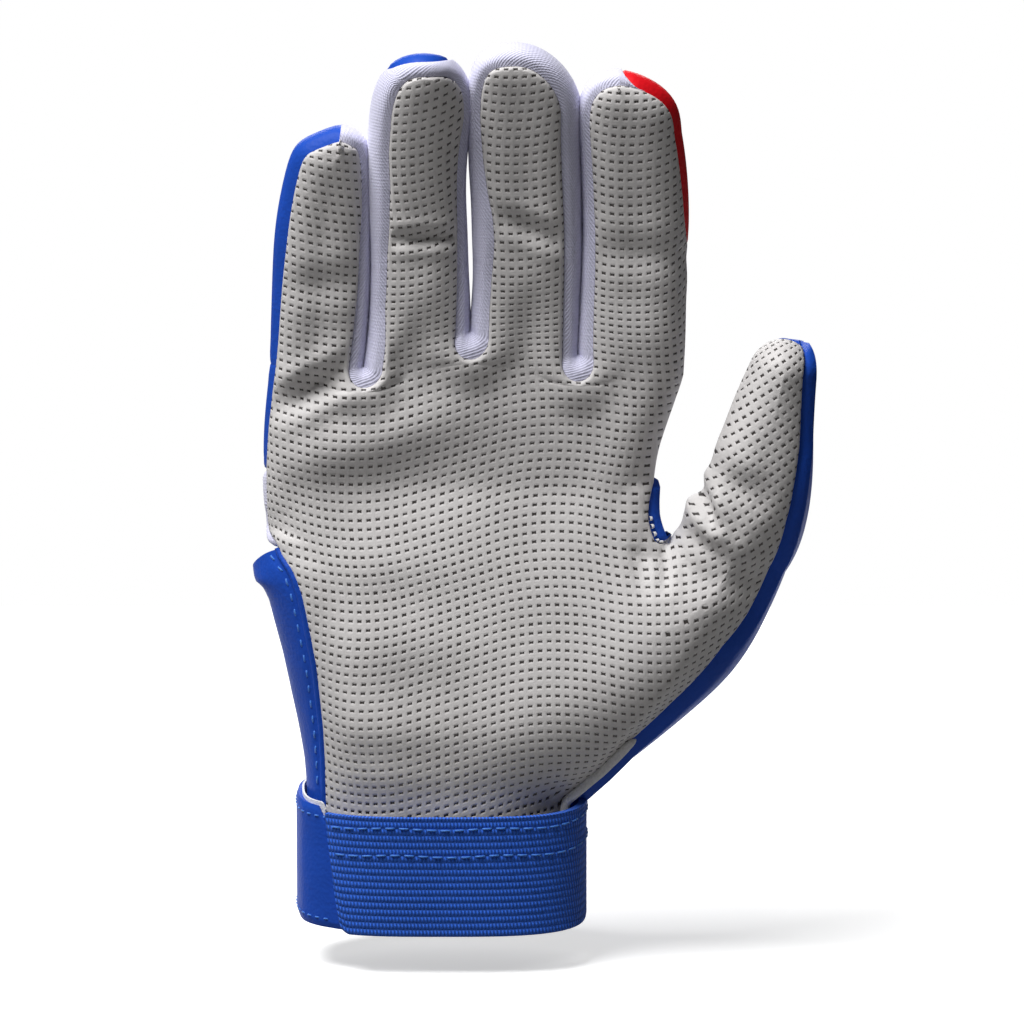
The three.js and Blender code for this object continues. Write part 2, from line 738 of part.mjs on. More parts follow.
function upperParams(finger) {
  const straight = steps(finger.joint + HINGE_GAP / 2, finger.crown, 3);
  return [...straight, ...DOME_STEPS.map((step) => finger.crown + step)];
}

function fingerPanel(finger, params, face) {
  const left = fingerStations(finger, LEFT, params);
  const right = fingerStations(finger, RIGHT, params);
  return stallPanel(left, right, face, FINGER_COLUMNS);
}

function thumbParams(upper) {
  const gap = HINGE_GAP / 2 / thumbAxis.getLength();
  if (!upper) return steps(THUMB_HINGE + gap, THUMB_JOINT - gap, 3);
  return [...steps(THUMB_JOINT + gap, 1, 3), ...DOME_STEPS.map((step) => 1 + step)];
}

function thumbPanel(upper, face) {
  const params = thumbParams(upper);
  const left = thumbStations(LEFT, params);
  const right = thumbStations(RIGHT, params);
  return stallPanel(left, right, face, MOUND_COLUMNS, ROLL_COLUMNS);
}

const hasGusset = (finger, name) => finger[name].front !== finger[name].back;

function sideGusset(finger, side) {
  return [gusset(fingerStations(finger, side, lowerParams(finger)))];
}

// The knit over a fingertip: both sides in one, or one side up to the middle of the tip.
function tipGusset(finger) {
  const params = upperParams(finger);
  const left = hasGusset(finger, "left");
  const right = hasGusset(finger, "right");
  if (left && right) {
    const down = params.slice(0, -1).reverse();
    return [gusset([...fingerStations(finger, LEFT, params), ...fingerStations(finger, RIGHT, down)])];
  }
  const shortOfTip = [...params.slice(0, -1), finger.crown + 0.97];
  return [gusset(fingerStations(finger, left ? LEFT : RIGHT, shortOfTip))];
}

// Cuff and closure

// A point round the wrist, lifted off the tucked panels.
function wristSpot(angle, z, lift) {
  const turn = radians(angle);
  const x = rounded(Math.cos(turn));
  const y = rounded(Math.sin(turn));
  const halfWidth = WRIST_HALF_WIDTH + lift;
  const halfDepth = WRIST_HALF_DEPTH + lift;
  const slope = (value) => Math.sign(value) * Math.abs(value) ** (EDGE_POWER - 1);
  const normal = new THREE.Vector3(slope(x) / halfWidth, slope(y) / halfDepth, 0).normalize();
  const position = new THREE.Vector3(x * halfWidth, y * halfDepth, z);
  return { position, normal, key: `${position.x.toFixed(3)} ${position.y.toFixed(3)} ${z.toFixed(3)}` };
}

function wristBand(from, to, columns, low, high, lift) {
  return [[low, high].map((z) => steps(from, to, columns).map((angle) => wristSpot(angle, z, lift(angle))))];
}

const CUFF_OUTSIDE = CUFF_CLEARANCE + CUFF_WALL;
const LOOP_OUTSIDE = CUFF_OUTSIDE + STACK_GAP + PATCH_WALL;
const HOOK_OUTSIDE = LOOP_OUTSIDE + STACK_GAP + PATCH_WALL;
const STRAP_OUTSIDE = HOOK_OUTSIDE + STACK_GAP + STRAP_WALL;
const ANCHOR_OUTSIDE = CUFF_CLEARANCE + STRAP_WALL;
const SEAM_ANGLE = THREE.MathUtils.radToDeg(SEAM_GAP / WRIST_HALF_WIDTH);

function cuffElastic() {
  return wristBand(ELASTIC_START, ELASTIC_START + ELASTIC_LENGTH, 28, 0, CUFF_HEIGHT, () => CUFF_OUTSIDE);
}

function strapAnchor() {
  const low = STRAP_MARGIN;
  const high = CUFF_HEIGHT;
  return wristBand(STRAP_HINGE + SEAM_ANGLE, ELASTIC_START - 2 * SEAM_ANGLE, 9, low, high, () => ANCHOR_OUTSIDE);
}

function closureStrap() {
  const elasticEnd = ELASTIC_START + ELASTIC_LENGTH - 360;
  const lift = (angle) => lerp(STRAP_OUTSIDE, ANCHOR_OUTSIDE, ramp(angle, elasticEnd + 6, STRAP_HINGE));
  return wristBand(STRAP_END, STRAP_HINGE, 16, STRAP_MARGIN, CUFF_HEIGHT - STRAP_MARGIN, lift);
}

function closurePatch(lift) {
  return wristBand(PATCH_START, PATCH_END, 5, PATCH_MARGIN, CUFF_HEIGHT - PATCH_MARGIN, () => lift);
}

// A round cord on the seam between the thumb base panel and the cuff.
const BINDING_RADIUS = 0.9;
const BINDING_START = 0.06; // shares of the edge from the cuff to the thumb
const BINDING_END = 0.34;

function wristBinding() {
  const lift = BINDING_RADIUS + SEAM_GAP;
  const points = steps(BINDING_START, BINDING_END, 5).map((s) => {
    const { position, normal } = spotOnStation(moundStation(s), THUMB_OUTER_SEAM);
    return position.addScaledVector(normal, lift);
  });
  const section = new THREE.Shape().absarc(0, 0, BINDING_RADIUS, 0, 2 * Math.PI);
  const path = new THREE.CatmullRomCurve3(points);
  return new THREE.ExtrudeGeometry(section, { extrudePath: path, steps: 12, curveSegments: 5 });
}

// Materials

const plain = (color, roughness) => new THREE.MeshStandardMaterial({ color, roughness, metalness: 0 });
const palmLeather = () => plain(0xbfbcba, 0.62);
const blueLeather = () => plain(0x1c46a8, 0.5);
const redLeather = () => plain(0xd8121e, 0.5);
const whiteLeather = () => plain(0xecebf2, 0.5);
const whiteKnit = () => plain(0xdedcf2, 0.9);
const blueElastic = () => plain(0x1b4296, 0.85);
const hookTape = () => plain(0x16181f, 0.9);
const loopTape = () => plain(0x1a2f66, 1.0);
const paleBinding = () => plain(0xd9d8de, 0.7);

const BACK_LEATHERS = { pinky: blueLeather, ring: blueLeather, middle: whiteLeather, index: redLeather };

const glove = new THREE.Group();
glove.name = "batting_glove";

function group(name) {
  const made = new THREE.Group();
  made.name = name;
  glove.add(made);
  return made;
}

function add(parent, name, geometry, material) {
  const mesh = new THREE.Mesh(geometry, material);
  mesh.name = name;
  parent.add(mesh);
}

const leather = (grids) => solidPanel(grids, LEATHER_WALL);
const knit = (grids) => solidPanel(grids, KNIT_WALL);

function addHand() {
  const hand = group("hand");
  add(hand, "palm_panel", leather(palmPanel()), palmLeather());
  add(hand, "wrist_panel", leather(wristPanel()), blueLeather());
  add(hand, "back_knit_panel", knit(backKnitPanel()), whiteKnit());
  add(hand, "knuckle_panel", leather(knucklePanel()), blueLeather());
  add(hand, "thumb_base_panel", leather(thumbBasePanel()), blueLeather());
  add(hand, "vent_facing", leather(ventFacing()), blueLeather());
  add(hand, "pinky_ring_fourchette", knit(forkGusset(0)), whiteKnit());
  add(hand, "ring_middle_fourchette", knit(forkGusset(1)), whiteKnit());
  add(hand, "middle_index_fourchette", knit(forkGusset(2)), whiteKnit());
  add(hand, "wrist_binding", wristBinding(), paleBinding());
  add(hand, "cuff_elastic", solidPanel(cuffElastic(), CUFF_WALL), blueElastic());
  add(hand, "strap_anchor", solidPanel(strapAnchor(), STRAP_WALL), blueLeather());
  add(hand, "loop_patch", solidPanel(closurePatch(LOOP_OUTSIDE), PATCH_WALL), loopTape());
}

function addStrap() {
  const strap = group("strap");
  add(strap, "closure_strap", solidPanel(closureStrap(), STRAP_WALL), blueLeather());
  add(strap, "hook_patch", solidPanel(closurePatch(HOOK_OUTSIDE), PATCH_WALL), hookTape());
}

function addFinger(finger) {
  const lower = group(`${finger.name}_lower`);
  const upper = group(`${finger.name}_upper`);
  const backLeather = BACK_LEATHERS[finger.name];
  add(lower, `${finger.name}_lower_front`, leather(fingerPanel(finger, lowerParams(finger), FRONT)), palmLeather());
  add(lower, `${finger.name}_lower_back`, leather(fingerPanel(finger, lowerParams(finger), BACK)), backLeather());
  add(upper, `${finger.name}_upper_front`, leather(fingerPanel(finger, upperParams(finger), FRONT)), palmLeather());
  add(upper, `${finger.name}_upper_back`, leather(fingerPanel(finger, upperParams(finger), BACK)), backLeather());
  if (hasGusset(finger, "left")) {
    add(lower, `${finger.name}_lower_left_gusset`, knit(sideGusset(finger, LEFT)), whiteKnit());
  }
  if (hasGusset(finger, "right")) {
    add(lower, `${finger.name}_lower_right_gusset`, knit(sideGusset(finger, RIGHT)), whiteKnit());
  }
  add(upper, `${finger.name}_tip_gusset`, knit(tipGusset(finger)), whiteKnit());
}

function addThumb() {
  const lower = group("thumb_lower");
  const upper = group("thumb_upper");
  add(lower, "thumb_lower_front", leather(thumbPanel(false, FRONT)), palmLeather());
  add(lower, "thumb_lower_back", leather(thumbPanel(false, BACK)), blueLeather());
  add(upper, "thumb_upper_front", leather(thumbPanel(true, FRONT)), palmLeather());
  add(upper, "thumb_upper_back", leather(thumbPanel(true, BACK)), blueLeather());
}

addHand();
addStrap();
FINGERS.forEach(addFinger);
addThumb();

export default glove;
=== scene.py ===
"""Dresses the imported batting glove: leather and knit panels, elastic cuff, strap, thread and a plain stage.

The glove is one pillow-like surface. Its outline is a flat curve in X and Z, and front and back rise from it
as a superellipse of the distance to the outline. Every panel is a patch of that surface. Lengths inside
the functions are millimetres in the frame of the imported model, and a mesh gets them in metres.
"""
import math
from types import SimpleNamespace

import bpy
import numpy as np
from bpy.props import FloatProperty, FloatVectorProperty, PointerProperty
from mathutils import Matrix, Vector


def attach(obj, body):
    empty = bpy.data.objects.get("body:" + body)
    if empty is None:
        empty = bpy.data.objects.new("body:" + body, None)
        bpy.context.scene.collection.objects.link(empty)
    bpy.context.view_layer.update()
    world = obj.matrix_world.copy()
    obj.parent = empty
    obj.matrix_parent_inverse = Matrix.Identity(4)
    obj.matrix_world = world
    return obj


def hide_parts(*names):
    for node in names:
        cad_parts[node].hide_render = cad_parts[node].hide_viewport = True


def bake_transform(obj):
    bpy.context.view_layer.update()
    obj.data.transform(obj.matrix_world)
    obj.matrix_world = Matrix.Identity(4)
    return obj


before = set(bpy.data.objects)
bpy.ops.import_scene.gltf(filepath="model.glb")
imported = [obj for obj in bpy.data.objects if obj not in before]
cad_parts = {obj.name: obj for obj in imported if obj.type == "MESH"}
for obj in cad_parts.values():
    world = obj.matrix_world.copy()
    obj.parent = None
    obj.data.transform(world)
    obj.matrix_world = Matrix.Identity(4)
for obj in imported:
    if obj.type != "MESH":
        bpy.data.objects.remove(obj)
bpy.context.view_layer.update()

bl_info = {
    "name": "Batting Glove",
    "version": (1, 0, 0),
    "blender": (4, 5, 0),
    "location": "3D View > Sidebar > Glove",
    "description": "Leather, knit, elastic and thread for the packed batting glove",
    "category": "Object",
}

MM = 0.001
SHEET = 250.0  # millimetres of a panel that one unit of its UV map covers

# Sides and faces, as signs
FRONT, BACK = -1, 1
LEFT, RIGHT = -1, 1

# Wrist and cuff
WRIST_WIDTH, WRIST_DEPTH = 32.4, 19.0  # half sizes
CUFF_TOP = 29.0
HEM = 18.0  # lower edge of the panels, tucked into the cuff
CUFF_LIFT = 2.4  # outside of the elastic above the tucked panels
CUFF_POWER = 3.2  # squareness of the wrist's palm side, as the power of its superellipse
ANCHOR_LIFT = 2.2
STRAP_LIFT = 7.2
CUFF_TILT = 0.085  # how much higher the cuff is for each millimetre towards the back
ELASTIC_START, ELASTIC_END = 224.4, 439.5  # degrees round the wrist, from the thumb side over the back
ELASTIC_SLANT = 10.5  # degrees by which the elastic starts later at its lower edge
STRAP_HINGE, STRAP_FLAT, STRAP_END = 150.0, 85.5, 44.0  # up to the flat angle the strap has its full lift
PATCH_START, PATCH_END = 50.0, 74.0
LOOP_LIFT, HOOK_LIFT = 4.0, 5.4
CUFF_STITCH_ROWS = 26.3, 19.7
STRAP_STITCH, VENT_STITCH, WEB_STITCH = 2.4, 3.7, 1.9  # lengths from one stitch to the next
ROOT_END = 242.0  # of the strap's root, under the elastic
ROOT_DIP, ROOT_TUCK = 2.6, (214, 221)  # dip of the root's top edge, and where it sets in beside the elastic
LINING_SPAN, LINING_WALL = (160.0, 218.0), 0.5  # of the lining that shows above the root

# Palm, vent and edges
KNUCKLE_LINE = 137.3
PALM_MIDDLE = 75.96
VENT_TOP = 92.0
VENT_BACK, VENT_SLIT = 3.0, 3.0
PALM_SPLIT = 16.0
PALM_ROLL, FINGER_ROLL = 24.0, 10.2
PALM_DEPTHS, FINGER_DEPTHS = (16.5, 13.5), (9.4, 8.8)  # on the palm side and on the back
SEAM_REACH = 11.0  # how far from a seam the palm's relief is still held down
VENT_FIRST_ROW, VENT_STITCH_INSET = 14, 2.75
WEB_SHARE = 0.25  # of the rows between the web and the index finger, those round the web
WEB_STITCHED = 0.36  # share of the edge from the web upwards that is stitched
EDGE_POWER = 2.2
ROLL_DEPTH = 0.92  # depth of a rolled edge for each millimetre of its width
# Control points of the hand's edges between their ends
ULNAR_BULGE, RADIAL_HOLLOW = ((-33, 62), (-46.2, 84.6)), ((55.6, 122.0), (46.4, 108.5))
MOUND_BULGE, MOUND_RUN = (60.3, 52.5), 30.5
EDGE_START = 3.5
SEAM_STRIP = 1.3  # least width of the strip beside a seam
TIP_START = 5.0  # inset of the strips' inner edges at the middle of a tip
BACK_SPLIT = 0.75

# Thumb: its axis, the half widths on each side along it, and its tip
THUMB_BASE, THUMB_BEND, THUMB_CROWN = (68.5, 90.3), (75.1, 110.7), (81.0, 135.8)
THUMB_BASE_HALF, THUMB_DOME = 14.2, 6.7
THUMB_HALF = {LEFT: (13.2, 10.6, 11.0, 7.6), RIGHT: (THUMB_BASE_HALF, 18.0, 11.4, 7.8)}
THUMB_TAPER = 0.22  # of each half width, for each millimetre over the tip
THUMB_DEPTH, THUMB_FORWARD = 11.0, 7.0
THUMB_SPLIT, THUMB_FOOT = 0.34, 0.05  # shares of the thumb: between its lengths, and beside the web's rows
THUMB_BENDS = (4.5, 14.5), (20.0, 33.0)  # stretches along its axis in which it bends
THUMB_TIP_SEAM, THUMB_TIP_EASE = -1.2, 0.2
WEB_RADIUS, WEB_LEAN = 1.4, -76.0
WEB_FRONT_SEAM, THUMB_BACK_SEAM = 1.9, -3.0  # insets where the web meets the hand and the thumb
WEB_MIDDLE, WEB_REACH = (54, 108), (12, 34)  # of the hollow beside the web

# Fingers, from the little finger to the thumb side. Left and right are X values of each side from its foot
# to the crown. A dome has its rise above the crown, any points between, and its run beside the middle of the
# tip. At that middle, tip_seam and tip_back are the insets of the front and back seams, wrap_end that of a
# wrapped seam, and tip_ease says how far the palm side's strip follows. Late delays the turn of a right seam.
FINGER_CURL, RING_CURL, CURL_START, LONGEST_TIP = 15.5, 5.0, 128.0, 214.8
RING_MIDDLE, RING_SPREAD = -4.0, 11.0  # where the ring finger's own curl is, and how far it reaches
FINGER_FOOT = 130.0
FINGERS = [
    SimpleNamespace(
        name="pinky", left=(-41.5, -40.4, -40.85, -39.9, -37.25), right=(-19.6, -17.9, -17.4, -17.1, -17.2),
        domes=((13.0, (-33.5, 188.8), 3.0), (13.0, (-18.5, 188.1), 5.0)), tip=(-23.6, 193.8), slope=-0.12,
        joint=157.9, split=150.6, crown=180.0, forks=(None, 0),
        tip_seam=2.6, tip_back=-3.25, wrap_end=2.6, tip_ease=0.5, late=0.0),
    SimpleNamespace(
        name="ring", left=(-20.2, -15.3, -15.9, -18.2, -16.6), right=(6.8, 5.7, 7.15, 3.35, 6.5),
        domes=((2.5, 12.5), (3.5, 12.0)), tip=(-3.8, 211.7), slope=0.0,
        joint=167.0, split=159.7, crown=194.0, forks=(0, 1),
        tip_seam=4.2, tip_back=0.9, tip_ease=1.0, late=0.45),
    SimpleNamespace(
        name="middle", left=(4.35, 8.85, 8.7, 6.7, 6.85), right=(32.15, 32.2, 34.05, 32.0, 32.55),
        domes=((7.0, 12.5), (7.5, 8.5)), tip=(17.9, 213.6), slope=-0.03,
        joint=170.0, split=161.0, crown=197.0, forks=(1, 2),
        tip_seam=4.0, tip_back=-3.25, tip_ease=1.0, late=0.0),
    SimpleNamespace(
        name="index", left=(32.8, 31.2, 35.45, 33.9, 32.8), right=(57.8, 57.9, 59.1, 58.95, 56.6),
        domes=((13.0, (35.9, 200.4), 9.0), (4.0, (58.2, 204.2), 2.0)), tip=(41.7, 207.2), slope=0.1,
        joint=164.8, split=155.7, crown=192.0, forks=(2, None),
        tip_seam=2.3, tip_back=-3.25, wrap_end=-0.4, tip_ease=0.15, late=0.0),
]
FORKS = [
    SimpleNamespace(z=135.8, bend=137.3, tongue=4.4),
    SimpleNamespace(z=144.2, bend=146.4, tongue=5.7),
    SimpleNamespace(z=138.6, bend=140.6, tongue=5.7),
]
BASE_LEFT, BASE_RIGHT = 130.5, 133.1  # where the outer fingers start
FORK_BACK_SEAM, BACK_SEAM = -4.0, -2.6

# Insets of the seams from the outline by height, above zero on the palm side
FRONT_SEAMS = {
    ("pinky", LEFT): ((100, 112, 130, 142, 165, 190), (0.0, 0.2, 0.7, 1.4, 2.3, 2.4)),
    ("pinky", RIGHT): ((136, 144, 153, 163, 175, 187), (2.8, 2.4, 1.9, 1.7, 1.1, 1.1)),
    ("ring", LEFT): ((136, 141, 150, 163, 170, 180, 188), (4.2, 3.9, 2.9, 3.4, 4.2, 4.8, 4.4)),
    ("ring", RIGHT): ((144, 150, 160, 170, 196), (2.6, 2.2, 1.6, 1.2, 1.0)),
    ("middle", LEFT): ((144, 150, 157, 166, 172, 178, 186, 196), (3.8, 3.4, 3.6, 4.4, 4.2, 3.2, 2.4, 1.9)),
    ("middle", RIGHT): ((138, 150, 168, 195), (3.2, 3.4, 3.4, 4.0)),
    ("index", LEFT): ((138, 150, 175, 195), (3.2, 2.7, 1.8, 1.8)),
    ("index", RIGHT): ((133, 158, 165, 172, 185, 192), (-1.6, -1.0, 0.0, 0.5, 0.9, 1.1)),
}
VENT_EDGE = ((18, 41, 48, 58, 63, 69.4, 74.7, 80.2, 84.2, 87.2, 90, 92),
             (-28.6, -28.9, -29.2, -30.2, -30.7, -31.9, -32.9, -34.1, -35.4, -36.8, -38.8, -39.8))
VENT_FLARE = ((40, 56, 66, 74, 78.4, 81.8, 84.6, 92), (0, 0.7, 0.9, 1.5, 1.8, 2.8, 3.9, 3.9))
MOUND_SEAM = ((-1, 0, 0.1, 0.2, 0.4, 0.55, 0.7, 0.85, 1), (1.5, 1.5, 2.6, 4.4, 5.7, 6.1, 6.2, 4.7, 4.0))
THUMB_SEAM = ((0, 0.15, 0.3, 0.5, 0.7, 1), (4.0, 4.5, 4.8, 4.2, 3.1, 2.5))

# Folds of the palm leather: ends in X and Z, half width and depth
FOLDS = (
    (-39.5, 126.4, -19.6, 136.4, 2.8, 2.4),
    (-13.6, 167.2, 5.6, 167.8, 1.7, 1.6),
    (12.0, 173.6, 31.0, 165.4, 2.2, 1.4),
    (35.9, 164.6, 58.4, 162.4, 3.4, 0.9),
    (-36.2, 155.6, -19.3, 156.6, 3.2, 0.8),
    (61.6, 107.5, 64.9, 98.7, 1.5, 2.6),
    (57.8, 97.0, 68.3, 90.2, 2.2, 1.3),
    (60.0, 88.5, 77.0, 83.5, 4.0, 1.5),
    (66.4, 111.6, 74.5, 105.8, 3.0, 1.3),
    (53.2, 93.0, 53.0, 83.5, 1.5, 0.9),
    (47.6, 94.3, 48.2, 83.5, 2.0, 0.7),
    (-12.5, 140.6, -10.0, 134.0, 2.2, 1.2),
)
# Swellings of the palm leather: centre, half length, half width, turn in degrees, height
SWELLS = (
    (46.0, 62.0, 24, 17, 55, 4.2),
    (-20.0, 57.0, 26, 13, 95, 2.4),
    (10.0, 52.0, 40, 24, 0, 2.5),
    (-18.0, 118.0, 24, 7.5, 16, 2.8),
    (22.0, 125.0, 11, 9, 0, 0.7),
    (-5.0, 153.0, 10, 9, 0, 1.8),
    (19.0, 157.0, 10, 8, 0, 1.5),
    (46.0, 143.0, 11, 9, 0, 1.4),
    (59.0, 99.0, 9, 6, 60, 0.8),
    (68.0, 98.0, 11, 6, -15, 1.3),
)
HOLLOW, HOLLOW_LINE = 7.0, 106.6  # depth of the palm's cup, and the height of the crease where it is deepest
HOLLOW_UP, HOLLOW_DOWN, HOLLOW_SIDE = 31.0, 38.0, 44.0  # reaches of the cup from the crease and sideways
SLACK_WAVE = 21.0  # length of the slack waves over the heel of the hand
THUMB_SLOTS_PIVOT, THUMB_SLOTS_TURN = (68.0, 92.0), math.radians(33)  # of the slots on the thumb
WRIST_FALL = 1.2  # of the palm leather towards the cuff

# Cells of the meshes
ARC_ROWS, ROOT_ROWS, LENGTH_STEP, DOME_ROWS = 12, 16, 0.85, 18
FINGER_COLUMNS, STRIP_COLUMNS, KNIT_COLUMNS = 22, 7, 14
PALM_LOW_ROWS, PALM_HIGH_ROWS, MOUND_COLUMNS = 84, 46, 56
STRAP_ROWS = 44
FAR = 99.0  # distance to a seam where none is near
WELD_GAP = 0.0005  # points closer than this are one
BATCH = 4096  # points measured against the outline at a time


def lerp(a, b, share):
    return a + (b - a) * share


def smooth(value, low, high):
    """Smoothstep from 0 at low to 1 at high: 3 s^2 - 2 s^3 of the share s of the way."""
    share = np.clip((value - low) / (high - low), 0, 1)
    return share * share * (3 - 2 * share)


def rounded(value):
    """Sine or cosine of a superellipse: the sign kept, the size to the power 2 / EDGE_POWER."""
    return np.sign(value) * np.abs(value) ** (2 / EDGE_POWER)


def unit(vectors):
    return vectors / np.maximum(np.linalg.norm(vectors, axis=-1, keepdims=True), 1e-12)


def on_side(pair, side):
    """The left or the right one of a pair."""
    return pair[0 if side == LEFT else 1]


def bezier(points, share):
    """A Bezier curve through its end points, by repeated straight blends of its control points."""
    share = np.asarray(share, float)[..., None]
    layers = [np.asarray(p, float) for p in points]
    while len(layers) > 1:
        layers = [lerp(a, b, share) for a, b in zip(layers, layers[1:])]
    return layers[0]


# Outline curves: a parameter in, points in X and Z out

def finger_edge(finger, side):
    """A finger's side: X as a Bezier blend of its values by height up to the crown, then a Bezier curve
    over the shoulder to the middle of its tip, by crown + 0 to 1."""
    values = np.array(on_side((finger.left, finger.right), side))[:, None]
    rise, *shoulder, run = on_side(finger.domes, side)
    span = finger.crown - FINGER_FOOT
    crown, tip = np.array([values[-1, 0], finger.crown]), np.array(finger.tip)
    lean = (len(values) - 1) * (values[-1, 0] - values[-2, 0]) / span
    beside_tip = tip + side * run * unit(np.array([1, finger.slope]))
    dome = (crown, crown + rise * np.array([lean, 1]), *shoulder, beside_tip, tip)

    def edge(s):
        s = np.asarray(s, float)
        z = np.minimum(s, finger.crown)
        low = np.stack([bezier(values, (z - FINGER_FOOT) / span)[..., 0], z], -1)
        return np.where((s <= finger.crown)[..., None], low, bezier(dome, np.maximum(s - finger.crown, 0)))

    return edge


def arc_edge(centre, radius):
    """The lower side of a circle, by the angle in degrees from its lowest point."""
    return lambda angle: np.stack([centre[0] + radius * np.sin(np.radians(angle)),
                                   centre[1] - radius * np.cos(np.radians(angle))], -1)


def fork_edge(i):
    """The crotch between two fingers: the half circle that spans the gap between their feet."""
    left = finger_edge(FINGERS[i], RIGHT)(FORKS[i].z)
    right = finger_edge(FINGERS[i + 1], LEFT)(FORKS[i].z)
    return arc_edge((left + right) / 2, np.linalg.norm(right - left) / 2)


def thumb_axis(share):
    return bezier((THUMB_BASE, THUMB_BEND, THUMB_CROWN), share)


def thumb_tangent(share):
    """Way along the thumb's axis: a straight blend of the axis curve's two legs."""
    start, bend, crown = (np.asarray(p) for p in (THUMB_BASE, THUMB_BEND, THUMB_CROWN))
    return unit(lerp(bend - start, crown - bend, np.asarray(share, float)[..., None]))


def thumb_edge(side):
    """The thumb's side: half widths off a bent axis, then a quarter superellipse over its tip, by 1 to 2."""

    def edge(s):
        s = np.asarray(s, float)
        share = np.clip(s, 0, 1)
        along = thumb_tangent(share)
        across = np.stack([along[..., 1], -along[..., 0]], -1) * side
        turn = np.maximum(s - 1, 0) * np.pi / 2
        rise = THUMB_DOME * rounded(np.sin(turn))
        width = bezier(np.array(THUMB_HALF[side])[:, None], share)[..., 0] - THUMB_TAPER * rise
        half = width * rounded(np.cos(turn))
        return thumb_axis(share) + across * half[..., None] + along * rise[..., None]

    return edge


def web_edge():
    """The small circle of the web, beside the foot of the thumb."""
    along = thumb_tangent(0.0)
    return arc_edge(thumb_edge(LEFT)(0.0) - np.array([along[1], -along[0]]) * WEB_RADIUS, WEB_RADIUS)


WEB_THUMB = math.degrees(math.atan2(thumb_tangent(0.0)[1], thumb_tangent(0.0)[0]))


def tucked(points):
    """A Bezier curve with a straight tail inside the cuff, for parameters from -1 to 0."""

    def edge(s):
        s = np.asarray(s, float)
        tail = np.stack([np.full_like(s, points[0][0]), lerp(CUFF_TOP, HEM, -s)], -1)
        return np.where((s < 0)[..., None], tail, bezier(points, np.clip(s, 0, 1)))

    return edge


def ulnar_edge():
    """The hand's edge from the cuff up to the little finger."""
    end = finger_edge(FINGERS[0], LEFT)(BASE_LEFT)
    return tucked(((-WRIST_WIDTH, CUFF_TOP), *ULNAR_BULGE, end))


def mound_edge():
    """The edge of the thumb's mound from the cuff up to the thumb."""
    end = thumb_edge(RIGHT)(0.0)
    return tucked(((WRIST_WIDTH, CUFF_TOP), MOUND_BULGE, end - MOUND_RUN * thumb_tangent(0.0), end))


def radial_edge():
    """The hand's edge from the index finger down to the web."""
    points = (finger_edge(FINGERS[3], RIGHT)(BASE_RIGHT), *RADIAL_HOLLOW, web_edge()(WEB_LEAN))
    return lambda s: bezier(points, np.clip(s, 0, 1))


def outline_path():
    """The whole outline as one row of points, from the little-finger side of the cuff over all the tips."""
    runs = [ulnar_edge()(np.linspace(-1, 1, 61))]
    for i, finger in enumerate(FINGERS):
        ends = zip(finger.forks, (BASE_LEFT, BASE_RIGHT))
        feet = [base if fork is None else FORKS[fork].z for fork, base in ends]
        runs.append(finger_edge(finger, LEFT)(np.linspace(feet[0], finger.crown, 5)))
        runs.append(finger_edge(finger, LEFT)(finger.crown + np.linspace(0, 1, 25)))
        runs.append(finger_edge(finger, RIGHT)(finger.crown + np.linspace(1, 0, 25)))
        runs.append(finger_edge(finger, RIGHT)(np.linspace(finger.crown, feet[1], 5)))
        if i < len(FORKS):
            runs.append(fork_edge(i)(np.linspace(-90, 90, 19)))
    runs.append(radial_edge()(np.linspace(0, 1, 33)))
    runs.append(web_edge()(np.linspace(WEB_LEAN, WEB_THUMB, 15)))
    runs.append(thumb_edge(LEFT)(np.linspace(0, 2, 61)))
    runs.append(thumb_edge(RIGHT)(np.linspace(2, 0, 61)))
    runs.append(mound_edge()(np.linspace(1, -1, 61)))
    path = np.concatenate(runs)
    keep = np.r_[True, np.linalg.norm(np.diff(path, axis=0), axis=1) > 1e-6]
    return path[keep]


OUTLINE = outline_path()


def nearest_on_outline(spots):
    """Distance from each spot to the outline, and the way outwards, by the foot on each straight length."""
    flat = spots.reshape(-1, 2)
    starts, runs = OUTLINE[:-1], np.diff(OUTLINE, axis=0)
    lengths = (runs ** 2).sum(1)
    distance, outward = np.empty(len(flat)), np.empty_like(flat)
    for low in range(0, len(flat), BATCH):
        part = flat[low:low + BATCH, None]
        share = np.clip(((part - starts) * runs).sum(-1) / lengths, 0, 1)
        gaps = starts + share[..., None] * runs - part
        sizes = (gaps ** 2).sum(-1)
        best = sizes.argmin(1)
        rows = np.arange(len(best))
        distance[low:low + BATCH] = np.sqrt(sizes[rows, best])
        outward[low:low + BATCH] = unit(gaps[rows, best])
    return distance.reshape(spots.shape[:-1]), outward.reshape(spots.shape)


# The pillow surface

def along_hand(z, wrist, palm, finger):
    """A size by height, in smooth steps from the wrist's to the palm's and the fingers'."""
    hand = lerp(wrist, palm, smooth(z, CUFF_TOP, PALM_MIDDLE))
    return lerp(hand, finger, smooth(z, PALM_MIDDLE, KNUCKLE_LINE))


def thumb_share(x, z):
    """How far a place belongs to the thumb, from 0 in the palm to 1."""
    axis = unit(np.subtract(THUMB_CROWN, THUMB_BASE))
    along = (x - THUMB_BASE[0]) * axis[0] + (z - THUMB_BASE[1]) * axis[1]
    across = (x - THUMB_BASE[0]) * axis[1] - (z - THUMB_BASE[1]) * axis[0]
    return smooth(along, -THUMB_BASE_HALF, 2 * THUMB_BASE_HALF) * smooth(
        across, -1.5 * THUMB_BASE_HALF, -THUMB_BASE_HALF)


